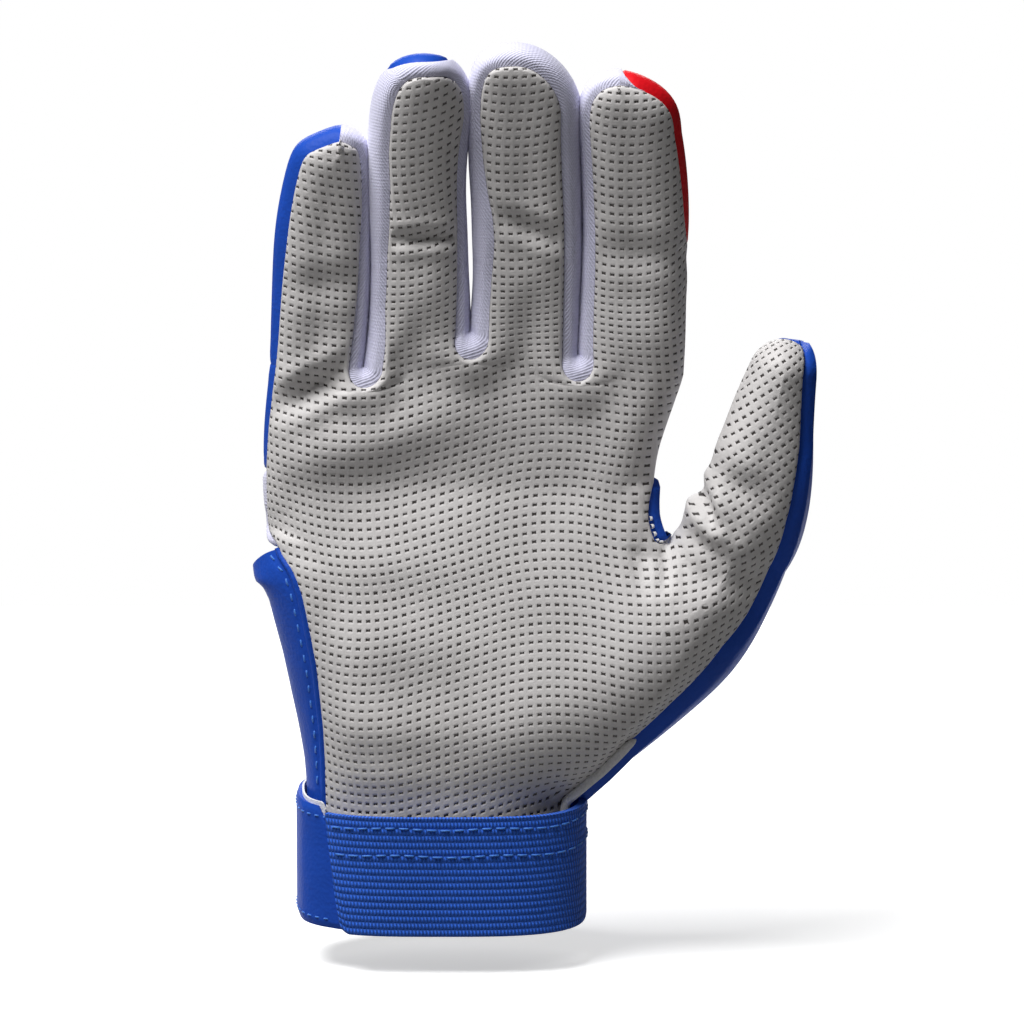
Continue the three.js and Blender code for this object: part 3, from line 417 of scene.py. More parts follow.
def midplane(x, z):
    """Y of the middle surface: fingers curl with the square of their height, and the thumb lies forward."""
    lean = np.maximum(z - CURL_START, 0) / (LONGEST_TIP - CURL_START)
    curl = FINGER_CURL + RING_CURL * np.exp(-((x - RING_MIDDLE) / RING_SPREAD) ** 2)
    return -curl * lean ** 2 - THUMB_FORWARD * thumb_share(x, z)


ROLL_TURN = np.linspace(0, np.pi / 2, 200)
ROLL_OUT, ROLL_RISE = rounded(np.sin(ROLL_TURN)), ROLL_DEPTH * rounded(np.cos(ROLL_TURN))
ROLL_ARC = np.r_[0, np.cumsum(np.hypot(np.diff(ROLL_OUT), np.diff(ROLL_RISE)))]


def skin(spots, outward, distance, face):
    """Places and normals on the pillow: rise = (1 - out^p)^(1/p), with out the share of the roll still to go.
    Also the flattened place: X and Z moved outwards by the arc that the rolled edge adds."""
    x, z = spots[..., 0], spots[..., 1]
    share = thumb_share(x, z)
    front = np.asarray(face) == FRONT
    palm_depth, finger_depth = np.where(front, *PALM_DEPTHS), np.where(front, *FINGER_DEPTHS)
    roll = lerp(along_hand(z, WRIST_WIDTH, PALM_ROLL, FINGER_ROLL), FINGER_ROLL, share)
    depth = lerp(along_hand(z, WRIST_DEPTH, palm_depth, finger_depth), THUMB_DEPTH, share)
    out = 1 - np.minimum(distance / roll, 1)
    rise = (1 - out ** EDGE_POWER) ** (1 / EDGE_POWER)
    sideways, upright = out ** (EDGE_POWER - 1) / roll, rise ** (EDGE_POWER - 1) / depth
    normal = unit(np.stack([outward[..., 0] * sideways, face * upright, outward[..., 1] * sideways], -1))
    place = np.stack([x, midplane(x, z) + face * depth * rise, z], -1)
    web_gap = np.hypot(x - WEB_MIDDLE[0], 0.7 * (z - WEB_MIDDLE[1]))
    even = smooth(web_gap, *WEB_REACH)  # the hollow of the web would crowd the sheet
    extra = even * roll * (np.interp(out, ROLL_OUT, ROLL_ARC) - out)
    return place, normal, spots + outward * extra[..., None]


# Rims: points of the outline with the way inwards and the seams there

class Rim:
    """Feet on the outline, unit ways inwards, the insets of the seam on the palm side and on the back, how
    far each foot is on its way to a fingertip's middle, and how much that counts on the palm side."""

    PARTS = "feet", "inward", "front", "back", "tip", "ease"

    def __init__(self, feet, inward, front, back, tip=0.0, ease=1.0):
        self.feet, self.inward = feet, inward
        for part, value in zip(self.PARTS[2:], (front, back, tip, ease)):
            setattr(self, part, np.broadcast_to(np.asarray(value, float), len(feet)))

    def __getitem__(self, rows):
        return Rim(*(getattr(self, part)[rows] for part in self.PARTS))

    def inset(self, amount):
        return self.feet + self.inward * np.abs(amount)[:, None]

    def start(self, face):
        """Signed inset where the rolled strip passes into the flat part of a panel."""
        seam, tip = (self.front, self.tip * self.ease) if face == FRONT else (-self.back, self.tip)
        return -face * lerp(np.maximum(seam + SEAM_STRIP, EDGE_START), TIP_START, tip)

    def start_line(self, face):
        return self.inset(self.start(face))


def rim(edge, s, inside, front, back, tip=0.0, ease=1.0):
    """A rim at those parameters of an edge. The ways inwards are its tangents turned by 90 degrees."""
    s = np.asarray(s, float)
    tangent = unit(edge(s + 0.01) - edge(s - 0.01))
    return Rim(edge(s), np.stack([tangent[:, 1], -tangent[:, 0]], -1) * inside, front, back, tip, ease)


def join(*rims):
    return Rim(*(np.concatenate([getattr(r, part) for r in rims]) for part in Rim.PARTS))


def finger_seams(finger, side, z):
    """Front and back seam insets up a finger's side. Where leather wraps the edge both are one seam."""
    front = np.interp(z, *FRONT_SEAMS[finger.name, side])
    wraps = on_side(finger.forks, side) is None
    return front, front if wraps else np.full_like(front, BACK_SEAM), wraps


def finger_rows(finger):
    """Counts of rows: crotch, root up to the split, length up to the crown, dome."""
    return ARC_ROWS, ROOT_ROWS, int(round((finger.crown - finger.split) / LENGTH_STEP)), DOME_ROWS


def finger_rim(i, side):
    """One side of a finger from the lowest point of its crotch to the middle of its tip."""
    finger = FINGERS[i]
    arcs, roots, lengths, domes = finger_rows(finger)
    fork = on_side(finger.forks, side)
    edge = finger_edge(finger, side)
    if fork is None:
        foot = FORKS[on_side(finger.forks, -side)].z
        z = np.linspace(on_side((BASE_LEFT, BASE_RIGHT), side), foot, arcs + 1)
        low = rim(edge, z, -side, *finger_seams(finger, side, z)[:2])
    else:
        foot = FORKS[fork].z
        angles = np.linspace(0, 90, arcs + 1)
        front, back, _ = finger_seams(finger, side, np.array([foot]))
        up = smooth(angles, 0, 90)
        low = rim(fork_edge(fork), -side * angles, 1, lerp(FORKS[fork].tongue, front[0], up),
                  lerp(FORK_BACK_SEAM, back[0], up))
    z = np.r_[np.linspace(foot, finger.split, roots + 1)[1:],
              np.linspace(finger.split, finger.crown, lengths + 1)[1:]]
    front, back, wraps = finger_seams(finger, side, z)
    high = rim(edge, z, -side, front, back)
    over = np.linspace(0, 1, domes + 1)[1:]
    eased = smooth(over, 0, 1)
    settled = smooth(over, finger.late if side == RIGHT else 0, 1)
    tip_front = lerp(front[-1], finger.tip_seam, settled)
    tip_back = lerp(back[-1], finger.tip_back, settled)
    if wraps:
        tip_back = tip_front - (finger.tip_seam - finger.wrap_end) * smooth(over, 0.7, 1)
    return join(low, high, rim(edge, finger.crown + over, -side, tip_front, tip_back, eased, finger.tip_ease))


# Grids of surface points

class Grid:
    """Points, normals, flattened places and distances to the nearest seam, all on rows and columns."""

    PARTS = "points", "normals", "sheet", "seam"

    def __init__(self, points, normals, sheet, seam=None):
        self.points, self.normals, self.sheet = points, normals, sheet
        self.seam = np.full(points.shape[:2], FAR) if seam is None else seam

    def rows(self, low, high):
        return Grid(*(getattr(self, part)[low:high] for part in self.PARTS))


def beside(*grids):
    return Grid(*(np.concatenate([getattr(g, part) for g in grids], 1) for part in Grid.PARTS))


def run_lengths(points, axis):
    """Length along rows or columns up to each point, as the sum of its straight steps."""
    steps = np.linalg.norm(np.diff(points, axis=axis), axis=-1)
    return np.concatenate([np.zeros_like(np.take(steps, [0], axis)), np.cumsum(steps, axis)], axis)


def near_seam(grid, sides, rest=0.0):
    """Sets each point's distance along the surface to those sides of the grid that are seams: l, r, b and t.
    A flatter seam is set as if it were a rest further away."""
    across, along = run_lengths(grid.points, 1), run_lengths(grid.points, 0)
    lengths = {"l": across, "r": across[:, -1:] - across, "b": along, "t": along[-1:] - along}
    grid.seam = np.minimum.reduce([grid.seam] + [lengths[side] + rest for side in sides])
    return grid


def turn_of(inset):
    """Angle round the rolled edge, whose cosine is 1 - inset / roll, with the inset's sign."""
    return np.sign(inset) * np.arccos(1 - np.minimum(np.abs(inset) / FINGER_ROLL, 1))


def strip(rim_row, start, end, columns):
    """A strip along a rim between two signed insets, in even turns round the edge. A negative inset is
    on the back."""
    turns = lerp(turn_of(start)[:, None], turn_of(end)[:, None], np.linspace(0, 1, columns + 1))
    inset = np.sign(turns) * FINGER_ROLL * (1 - np.cos(turns))
    spots = rim_row.feet[:, None] + rim_row.inward[:, None] * np.abs(inset)[..., None]
    outward = np.broadcast_to(-rim_row.inward[:, None], spots.shape)
    return Grid(*skin(spots, outward, np.abs(inset), np.where(inset < 0, BACK, FRONT)))


def inner(spots, face):
    """A grid of the flat part, with distances measured to the outline."""
    distance, outward = nearest_on_outline(spots)
    return Grid(*skin(spots, outward, distance, face))


def seam_strip(rim_row, face, outer_first):
    """The strip from a seam to where the flat part of its panel starts."""
    seam, start = (rim_row.front if face == FRONT else rim_row.back), rim_row.start(face)
    ends = (seam, start) if outer_first else (start, seam)
    return strip(rim_row, *ends, STRIP_COLUMNS)


def panel(left, right, places, face):
    """A panel between two rims: the strip beside each seam, and those places between their inner edges."""
    made = beside(seam_strip(left, face, True), inner(places, face), seam_strip(right, face, False))
    return near_seam(made, "lr")


def stall(left, right, face, columns):
    """A panel with straight rows."""
    share = np.linspace(0, 1, columns + 1)[1:-1, None]
    places = lerp(left.start_line(face)[:, None], right.start_line(face)[:, None], share)
    return panel(left, right, places, face)


def finger_stall(i, face):
    """A finger's panel from the lowest points of its crotches. The first rows are S-shaped, to leave those
    points level, and bowed upwards; they straighten up to the split."""
    left, right = finger_rim(i, LEFT), finger_rim(i, RIGHT)
    share, row = np.linspace(0, 1, FINGER_COLUMNS + 1)[1:-1], np.arange(len(left.feet))[:, None]
    heights = lerp(share, smooth(share, 0, 1), np.clip(1 - row / ARC_ROWS, 0, 1))
    both = np.stack([np.broadcast_to(share, heights.shape), heights], -1)
    places = lerp(left.start_line(face)[:, None], right.start_line(face)[:, None], both)
    bow = 2.2 * np.sin(np.pi * np.clip(row / (ARC_ROWS + ROOT_ROWS), 0, 1)) * 4 * share * (1 - share)
    places[..., 1] += bow
    return panel(left, right, places, face)


ULNAR, RADIAL, WEB, MOUND = ulnar_edge(), radial_edge(), web_edge(), mound_edge()
VENT_END = float(np.interp(VENT_TOP, ULNAR(np.linspace(0, 1, 2001))[:, 1], np.linspace(0, 1, 2001)))
LOW_ROWS = np.r_[np.linspace(-1, 0, 9), np.linspace(0, VENT_END, PALM_LOW_ROWS + 1)[1:]]
HIGH_ROWS = np.linspace(VENT_END, 1, PALM_HIGH_ROWS + 1)
KNIT_ROW = PALM_HIGH_ROWS // 2  # row of the high part where the back's knit ends


def ulnar_rim(s, back=None):
    """The hand's little-finger edge. The palm starts at the vent facing, and above it near the edge."""
    feet = ULNAR(s)
    edge = np.maximum(np.interp(feet[:, 1], *VENT_EDGE) - feet[:, 0], 1.0)
    seam = np.interp(feet[:, 1], *FRONT_SEAMS["pinky", LEFT])
    front = lerp(edge, seam, smooth(feet[:, 1], VENT_TOP, VENT_TOP + 4))
    return rim(ULNAR, s, 1, front, front if back is None else back)


def web_seam(angle):
    """Inset of the web's seam: leather covers the web's lowest point and the thumb's side of it."""
    return np.interp(angle, (WEB_LEAN, -40, -10, 25, WEB_THUMB),
                     (WEB_FRONT_SEAM, 0.4, -0.8, -2.0, THUMB_BACK_SEAM))


def web_rim(angles):
    seam = web_seam(angles)
    return rim(WEB, angles, 1, seam, seam)


def inner_rim(s):
    """The web from its lowest point, then the hand's edge up to the index finger."""
    share = (s - VENT_END) / (1 - VENT_END)
    angle, up = lerp(0, WEB_LEAN, share / WEB_SHARE), 1 - (share - WEB_SHARE) / (1 - WEB_SHARE)
    web = web_rim(np.maximum(angle, WEB_LEAN))
    seam = np.interp(1 - up, (0, 0.12, 0.3, 1), (WEB_FRONT_SEAM, 1.7, 0.0, -1.6))
    side = rim(RADIAL, np.clip(up, 0.011, 0.989), 1, seam, seam)
    round_web = share < WEB_SHARE
    feet = np.where(round_web[:, None], web.feet, RADIAL(up))
    inward = np.where(round_web[:, None], web.inward, side.inward)
    front = np.where(round_web, web.front, side.front)
    return join(Rim(feet, inward, front, front)[:-1], finger_rim(3, RIGHT)[:1])


def hand_share(s):
    """Height of the little-finger edge as a share, from the hem to the foot of that finger."""
    return (ULNAR(s)[:, 1] - HEM) / (BASE_LEFT - HEM)


def web_start(face):
    return web_rim(np.array([0.0])).start_line(face)[0]


def split_line(face):
    """Where palm and thumb mound meet, from the hem to the web."""
    share = hand_share(LOW_ROWS) / hand_share(np.array([VENT_END]))
    return lerp(np.array([PALM_SPLIT, HEM]), web_start(face), share[:, None])


def root_line(face, share):
    """S-shaped lengths between the lowest points of the crotches, a quarter of the share each."""
    ends = [finger_rim(i, LEFT)[:1] for i in range(4)] + [finger_rim(3, RIGHT)[:1]]
    points = np.concatenate([end.start_line(face) for end in ends])
    finger = np.minimum((share * 4).astype(int), 3)
    part = share * 4 - finger
    both = np.stack([part, smooth(part, 0, 1)], -1)
    return lerp(points[finger], points[finger + 1], both)


def crotch_gap(points):
    """Distance in the plane to the lowest point of the nearest crotch's seam on the palm."""
    ends = [finger_rim(i, LEFT)[:1] for i in (1, 2, 3)]
    lowest = np.concatenate([end.inset(end.front) for end in ends])
    return np.min([np.hypot(points[..., 0] - x, points[..., 2] - z) for x, z in lowest], axis=0)


def hand_rims(face):
    low = ulnar_rim(LOW_ROWS, None if face == FRONT else -VENT_BACK - VENT_SLIT)
    return low, join(ulnar_rim(HIGH_ROWS)[:-1], finger_rim(0, LEFT)[:1])


def hand_places(face, columns):
    """The palm or back as a Coons patch of its four sides: places of the low rows and of the high rows."""
    low, high = hand_rims(face)
    feet, tops = (low.start_line(face)[0], np.array([PALM_SPLIT, HEM])), root_line(face, np.array([0.0, 1.0]))
    foot, top = lerp(*feet, columns[:, None]), root_line(face, columns)
    made, sides = [], (split_line(face), inner_rim(HIGH_ROWS).start_line(face))
    for rows, left, right in zip((LOW_ROWS, HIGH_ROWS), (low, high), sides):
        v, u = hand_share(rows)[:, None, None], columns[None, :, None]
        across = lerp(left.start_line(face)[:, None], right[:, None], u)
        corners = lerp(lerp(feet[0], tops[0], v), lerp(feet[1], tops[1], v), u)
        made.append(across + lerp(foot[None], top[None], v) - corners)
    return made


def mound_grids(face):
    """The thumb's mound below the web, up to the thumb's root."""
    share = np.where(LOW_ROWS < 0, LOW_ROWS, LOW_ROWS / VENT_END)
    seam = np.interp(share, *MOUND_SEAM)
    edge = rim(MOUND, np.minimum(share, 0.985), -1, seam, seam)
    edge = join(edge[:-1], thumb_rims()[1][:1])
    columns = np.linspace(0, 1, MOUND_COLUMNS + 1)[:-1, None]
    places = lerp(split_line(face)[:, None], edge.start_line(face)[:, None], columns)
    return near_seam(beside(inner(places, face), seam_strip(edge, face, False)), "r")


THUMB_ROWS = (12, 20, 36, 18)  # web, root, length, dome


def thumb_rims():
    """Both sides of the thumb from the web, and from the mound, to the middle of its tip."""
    webs, roots, lengths, domes = THUMB_ROWS
    over = np.linspace(1, 2, domes + 1)[1:]
    high = np.linspace(THUMB_SPLIT, 1, lengths + 1)[1:]
    angles = np.linspace(0, WEB_THUMB, webs + 1)
    s = np.r_[np.linspace(0, THUMB_SPLIT, roots + 1)[1:], high, over]
    tip = smooth(s, 1, 2)
    seam = lerp(THUMB_BACK_SEAM, THUMB_TIP_SEAM, tip)
    left = join(web_rim(angles), rim(thumb_edge(LEFT), s, 1, seam, seam, THUMB_TIP_EASE * tip))
    low = np.r_[np.linspace(0, THUMB_FOOT, webs + 1), np.linspace(THUMB_FOOT, THUMB_SPLIT, roots + 1)[1:]]
    s = np.r_[low, high, over]
    tip = smooth(s, 1, 2)
    seam = lerp(np.interp(s, *THUMB_SEAM), THUMB_TIP_SEAM, tip)
    return left, rim(thumb_edge(RIGHT), s, -1, seam, seam, THUMB_TIP_EASE * tip)


# Shape of the leather on top of the pillow

def turned(x, z, centre_x, centre_z, degrees):
    """X and Z seen from a centre along axes turned by an angle."""
    c, s = math.cos(math.radians(degrees)), math.sin(math.radians(degrees))
    return (x - centre_x) * c + (z - centre_z) * s, (z - centre_z) * c - (x - centre_x) * s


def fold_depth(x, z):
    """Sum of valleys along straight folds: a Gaussian of the distance to each, with a low lip beside it."""
    total = np.zeros_like(x)
    for x0, z0, x1, z1, width, depth in FOLDS:
        run = np.array([x1 - x0, z1 - z0])
        share = np.clip(((x - x0) * run[0] + (z - z0) * run[1]) / (run @ run), 0, 1)
        gap = np.hypot(x - x0 - share * run[0], z - z0 - share * run[1]) / width
        taper = np.sin(np.pi * np.clip(0.12 + 0.76 * share, 0, 1))
        total += depth * taper * (0.32 * np.exp(-((gap - 2.0) / 0.9) ** 2) - np.exp(-gap ** 2))
    return total


def cupped(x, z):
    """The cup of the palm: deepest along a crease across it, fading as an exponential that is steep towards
    the fingers and slow towards the wrist, with slack waves over the heel of the hand."""
    off = z - HOLLOW_LINE + 0.023 * x
    reach = np.where(off > 0, HOLLOW_UP, HOLLOW_DOWN)
    cup = -HOLLOW * np.exp(-(np.hypot(off, 2.0) - 2.0) / reach - ((x - 4) / HOLLOW_SIDE) ** 4)
    slack = smooth(z, 38, 50) * (1 - smooth(z, 84, 98)) * np.exp(-((x + 12) / 20) ** 2)
    return cup + 0.42 * slack * np.cos(2 * np.pi * (z - 49) / SLACK_WAVE)


def palm_relief(points, seam):
    """Height of the palm leather: its cup, swellings as Gaussians, folds and a slow wave."""
    x, z = points[..., 0], points[..., 2]
    total = cupped(x, z)
    for centre_x, centre_z, length, width, degrees, height in SWELLS:
        a, b = turned(x, z, centre_x, centre_z, degrees)
        total += height * np.exp(-(a / length) ** 2 - (b / width) ** 2)
    wave = np.sin(x / 6.1 + 1.3 * np.sin(z / 11.0)) * np.sin(z / 7.3 + 0.7 * np.sin(x / 9.0))
    fall = WRIST_FALL * np.exp(-((z - CUFF_TOP) / 14) ** 2)
    lifted = (total + 0.16 * wave) * smooth(z, CUFF_TOP - 1, CUFF_TOP + 10) - fall
    return lifted * smooth(seam, 0, SEAM_REACH) + fold_depth(x, z) * smooth(seam, 0.2, 3.0)


def back_relief(points):
    """A slow wave of the back: the product of two sines with bent phases."""
    x, z = points[..., 0], points[..., 2]
    wave = np.sin(x / 7.9 + 0.9 * np.sin(z / 13.0)) * np.sin(z / 8.7 + 0.8 * np.sin(x / 10.0))
    return 0.22 * wave * smooth(z, CUFF_TOP, CUFF_TOP + 12)


def welt(seam, width, height):
    """An edge turned over a cord beside its seam: a half sine of that width, with a groove beyond it."""
    groove = np.exp(-((seam - width) / 0.4) ** 2)
    return height * np.sin(np.pi * np.clip(seam / width, 0, 1)) - 0.6 * height * groove


def seam_dip(seam, depth, reach):
    """An edge turned under into its seam: a parabola of the distance, down to depth at the seam itself."""
    return -depth * np.clip(1 - seam / reach, 0, 1) ** 2


# Meshes

def new_object(name, mesh):
    made = bpy.data.objects.new(name, mesh)
    bpy.context.scene.collection.objects.link(made)
    return made


def weld(grids):
    """All grids' points with coinciding ones merged, and their cells as faces of four or three corners."""
    flat = [np.concatenate([getattr(g, part).reshape(-1, size) for g in grids])
            for part, size in zip(Grid.PARTS, (3, 3, 2, 1))]
    cells, offset = [], 0
    for g in grids:
        rows, columns = g.points.shape[:2]
        index = np.arange(rows * columns).reshape(rows, columns) + offset
        corners = index[:-1, :-1], index[:-1, 1:], index[1:, 1:], index[1:, :-1]
        cells.append(np.stack(corners, -1).reshape(-1, 4))
        offset += rows * columns
    keys = np.round(flat[0] / WELD_GAP).astype(np.int64)
    _, first, place = np.unique(keys, axis=0, return_index=True, return_inverse=True)
    return [part[first] for part in flat], [place.reshape(-1)[c] for c in cells]


def face_normals(points, faces):
    return np.cross(points[faces[:, 2]] - points[faces[:, 0]], points[faces[:, 3]] - points[faces[:, 1]])


def skin_normals(points, faces):
    """Unit sums of the normals of the faces round each point, larger faces counting more."""
    total = np.zeros_like(points)
    made = face_normals(points, faces)
    for k in range(4):
        np.add.at(total, faces[:, k], made)
    return unit(total)


class Skin:
    """One sewn surface: welded grids with their relief, from which pieces are cut that keep its normals."""

    def __init__(self, grids, relief):
        (base, out, self.sheet, seam), cells = weld(grids)
        self.points = base + out * relief(base, seam[:, 0])[:, None]
        self.cells = [self._facing(part, out) for part in cells]
        self.normals = skin_normals(self.points, np.concatenate(self.cells))
        lost = np.linalg.norm(self.normals, axis=1) < 0.5
        self.normals[lost] = out[lost]

    def _facing(self, faces, out):
        """A grid's cells turned outwards together, without those that have shrunk to a line."""
        ends = np.sort(faces, 1)
        faces = faces[(np.diff(ends, axis=1) > 0).sum(1) >= 2]
        outside = (face_normals(self.points, faces) * out[faces].sum(1)).sum()
        return faces if outside > 0 else faces[:, ::-1]

    def piece(self, name, parts, wall):
        """A closed shell of the cells in those parts: the skin, a second one a wall inside, and its rims."""
        faces = np.concatenate([self.cells[p] for p in parts])
        used, faces = np.unique(faces, return_inverse=True)
        faces = faces.reshape(-1, 4)
        points, normals, sheet = self.points[used], self.normals[used], self.sheet[used]
        count = len(used)
        edges = np.concatenate([np.stack([faces[:, k], faces[:, (k + 1) % 4]], -1) for k in range(4)])
        edges = edges[edges[:, 0] != edges[:, 1]]
        codes = edges[:, 0] * count + edges[:, 1]
        free = edges[~np.isin(codes, edges[:, 1] * count + edges[:, 0])]
        rims = np.stack([free[:, 1], free[:, 0], free[:, 0] + count, free[:, 1] + count], -1)
        every = np.concatenate([faces, faces[:, ::-1] + count, rims])
        both = np.concatenate([points, points - normals * wall])
        rim_normals = unit(face_normals(both, rims))
        inside, around = -normals[faces[:, ::-1]], np.repeat(rim_normals[:, None], 4, 1)
        corner = np.concatenate([normals[faces], inside, around])
        return shell_object(name, both, every, corner, np.concatenate([sheet, sheet]))


def shell_object(name, points, faces, corner_normals, sheet):
    """A mesh object of faces whose repeated corners are dropped, with its own normals and UV map."""
    keep = faces != np.roll(faces, 1, axis=1)
    sizes = keep.sum(1)
    corners = faces[keep]
    mesh = bpy.data.meshes.new(name)
    mesh.vertices.add(len(points))
    mesh.vertices.foreach_set("co", (points * MM).astype(np.float32).ravel())
    mesh.loops.add(len(corners))
    mesh.loops.foreach_set("vertex_index", corners.astype(np.int32))
    mesh.polygons.add(len(faces))
    mesh.polygons.foreach_set("loop_start", np.r_[0, np.cumsum(sizes)[:-1]].astype(np.int32))
    mesh.update(calc_edges=True)
    mesh.validate()
    flat = (sheet[corners] / SHEET).astype(np.float32)
    mesh.uv_layers.new(name="sheet").data.foreach_set("uv", flat.ravel())
    mesh.polygons.foreach_set("use_smooth", np.ones(len(mesh.polygons), bool))
    mesh.normals_split_custom_set(corner_normals[keep].astype(np.float32))
    return new_object(name, mesh)


def finish_piece(piece, slot, body, *nodes):
    """Gives a piece the material of that slot, hides the imported parts it stands for, and lets it ride on a
    body. A piece given two bodies is only baked in place; its bend is not set up.
    """
    piece.data.materials.append(finish(slot))
    if nodes:
        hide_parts(*nodes)
    if isinstance(body, str):
        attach(piece, body)
    else:
        first, second, start, end = body
        tuple(v * MM for v in start)
        tuple(v * MM for v in end)
        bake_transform(piece)


def sew(name, grid, relief, wall, slot, *place):
    """One grid as a finished piece of its own."""
    finish_piece(Skin([grid], relief).piece(name, [0], wall), slot, *place)


# Materials

def linear(code):
    """An sRGB hex colour as linear red, green and blue."""
    values = np.array([int(code[k:k + 2], 16) for k in (1, 3, 5)]) / 255
    return tuple(np.where(values <= 0.04045, values / 12.92, ((values + 0.055) / 1.055) ** 2.4))


def add(tree, kind, inputs=None, **settings):
    """Adds a node with its settings, and sets or links its inputs."""
    made = tree.nodes.new(kind)
    for key, value in settings.items():
        setattr(made, key, value)
    for socket, value in (inputs or {}).items():
        if isinstance(value, bpy.types.NodeSocket):
            tree.links.new(value, made.inputs[socket])
        else:
            made.inputs[socket].default_value = value
    return made


def maths(tree, operation, *values):
    return add(tree, "ShaderNodeMath", dict(enumerate(values)), operation=operation).outputs[0]


def vectors(tree, operation, *values):
    return add(tree, "ShaderNodeVectorMath", dict(enumerate(values)), operation=operation).outputs[0]


def ranged(tree, value, low, high, to_low=0.0, to_high=1.0, way="LINEAR"):
    """A value carried from one range to another, and held at its ends."""
    inputs = dict(enumerate((value, low, high, to_low, to_high)))
    return add(tree, "ShaderNodeMapRange", inputs, interpolation_type=way).outputs[0]


def object_place(tree):
    return add(tree, "ShaderNodeTexCoord").outputs["Object"]


def sheet_place(tree):
    """The place on a panel's flattened sheet, in units of SHEET."""
    return add(tree, "ShaderNodeUVMap", uv_map="sheet").outputs[0]


def split(tree, vector):
    return add(tree, "ShaderNodeSeparateXYZ", {0: vector}).outputs


def per_metre(size_mm):
    """Scale of a texture with grains of about that many millimetres, on Object coordinates in metres."""
    return 1000 / size_mm


def noise(tree, size_mm, detail):
    inputs = {"Vector": object_place(tree), "Scale": per_metre(size_mm), "Detail": detail}
    return add(tree, "ShaderNodeTexNoise", inputs).outputs[0]


def waves(tree, value, length_mm):
    """A sine along the sheet, with waves of that many millimetres."""
    return maths(tree, "SINE", maths(tree, "MULTIPLY", value, 2 * math.pi * SHEET / length_mm))


def mixed(tree, factor, first, second):
    return add(tree, "ShaderNodeMix", {0: factor, 6: first, 7: second}, data_type="RGBA").outputs[2]


def shades(tree, factor, colour, dark, light):
    """A colour between two strengths of itself, by a factor."""
    return mixed(tree, factor, *((*np.clip(np.asarray(colour) * share, 0, 1), 1) for share in (dark, light)))


def start_material(name, **sockets):
    made = bpy.data.materials.new(name)
    made.use_nodes = True
    tree = made.node_tree
    shader = tree.nodes["Principled BSDF"]
    for socket, value in sockets.items():
        shader.inputs[socket.replace("_", " ")].default_value = value
    return made, tree, shader


def dress(tree, shader, colour, height, strength, depth_mm, **settings):
    """Gives a shader its colour and its bump."""
    tree.links.new(colour, shader.inputs["Base Color"])
    inputs = {"Height": height, "Strength": strength, "Distance": depth_mm * MM}
    tree.links.new(add(tree, "ShaderNodeBump", inputs, **settings).outputs[0], shader.inputs["Normal"])


PERFORATION = (2.2, 2.12)  # spacing of the palm's slots across and along the sheet
# Dark colour painted into the palm's slots as the shade inside them
SLOT_SHADE = "#302A28"
RIB_PITCH = 1.65  # of the elastic


def perforated_leather(name, colour):
    """Polyurethane palm leather, embossed flat and punched with small cross-shaped slots on a square grid.
    The eye sees matt warm grey, slots painted dark as the shade in them, a lower lip lit by the bump, and a
    fine pebble grain between them."""
    made, tree, shader = start_material(name, Roughness=0.58, IOR=1.45)
    across, up = PERFORATION
    cells = vectors(tree, "MULTIPLY", sheet_place(tree), (SHEET / across, SHEET / up, 1))
    whole = {"Vector": vectors(tree, "FLOOR", cells)}
    chance = add(tree, "ShaderNodeTexWhiteNoise", whole, noise_dimensions="2D").outputs["Value"]
    middle = vectors(tree, "SUBTRACT", vectors(tree, "FRACTION", cells), (0.5, 0.5, 0))
    x, y, _ = split(tree, vectors(tree, "ABSOLUTE", vectors(tree, "MULTIPLY", middle, (across, up, 1))))
    limit = maths(tree, "MULTIPLY_ADD", x, 0.2, ranged(tree, chance, 0, 1, 0.15, 0.26))
    tall = ranged(tree, maths(tree, "SUBTRACT", y, limit), 0.1, -0.08, way="SMOOTHSTEP")
    slot = maths(tree, "MULTIPLY", tall, ranged(tree, x, 0.57, 0.43, way="SMOOTHSTEP"))
    patches, grain = noise(tree, 22, 4.0), noise(tree, 0.4, 2.0)
    spread = ranged(tree, maths(tree, "MULTIPLY_ADD", grain, 0.35, patches), 0.4, 0.95)
    ground = shades(tree, spread, colour, 0.86, 1.1)
    high, broad = ranged(tree, y, 0.75, 0.1, way="SMOOTHSTEP"), ranged(tree, x, 0.95, 0.25, way="SMOOTHSTEP")
    sunk = maths(tree, "MULTIPLY_ADD", slot, 1.6, maths(tree, "MULTIPLY", high, broad))
    height = maths(tree, "MULTIPLY_ADD", grain, 0.4, sunk)
    # The slots' dark colour is painted shade; their lit lower lip comes from the bump alone.
    dress(tree, shader, mixed(tree, slot, ground, (*linear(SLOT_SHADE), 1)), height, 0.75, 0.14, invert=True)
    return made


def smooth_leather(name, colour):
    """Smooth dyed polyurethane leather, rolled flat and lightly pebbled.
    The eye sees one strong colour with a satin gloss and a fine, slightly uneven grain."""
    made, tree, shader = start_material(name, Specular_IOR_Level=0.12)
    patches = noise(tree, 14, 5.0)
    inputs = {"Vector": object_place(tree), "Scale": per_metre(0.8)}
    pebbles = add(tree, "ShaderNodeTexVoronoi", inputs, feature="SMOOTH_F1").outputs[0]
    height = maths(tree, "MULTIPLY_ADD", noise(tree, 3.2, 3.0), 0.8, pebbles)
    dress(tree, shader, shades(tree, patches, colour, 0.78, 1.2), height, 0.22, 0.4)
    tree.links.new(ranged(tree, patches, 0, 1, 0.42, 0.6), shader.inputs["Roughness"])
    return made


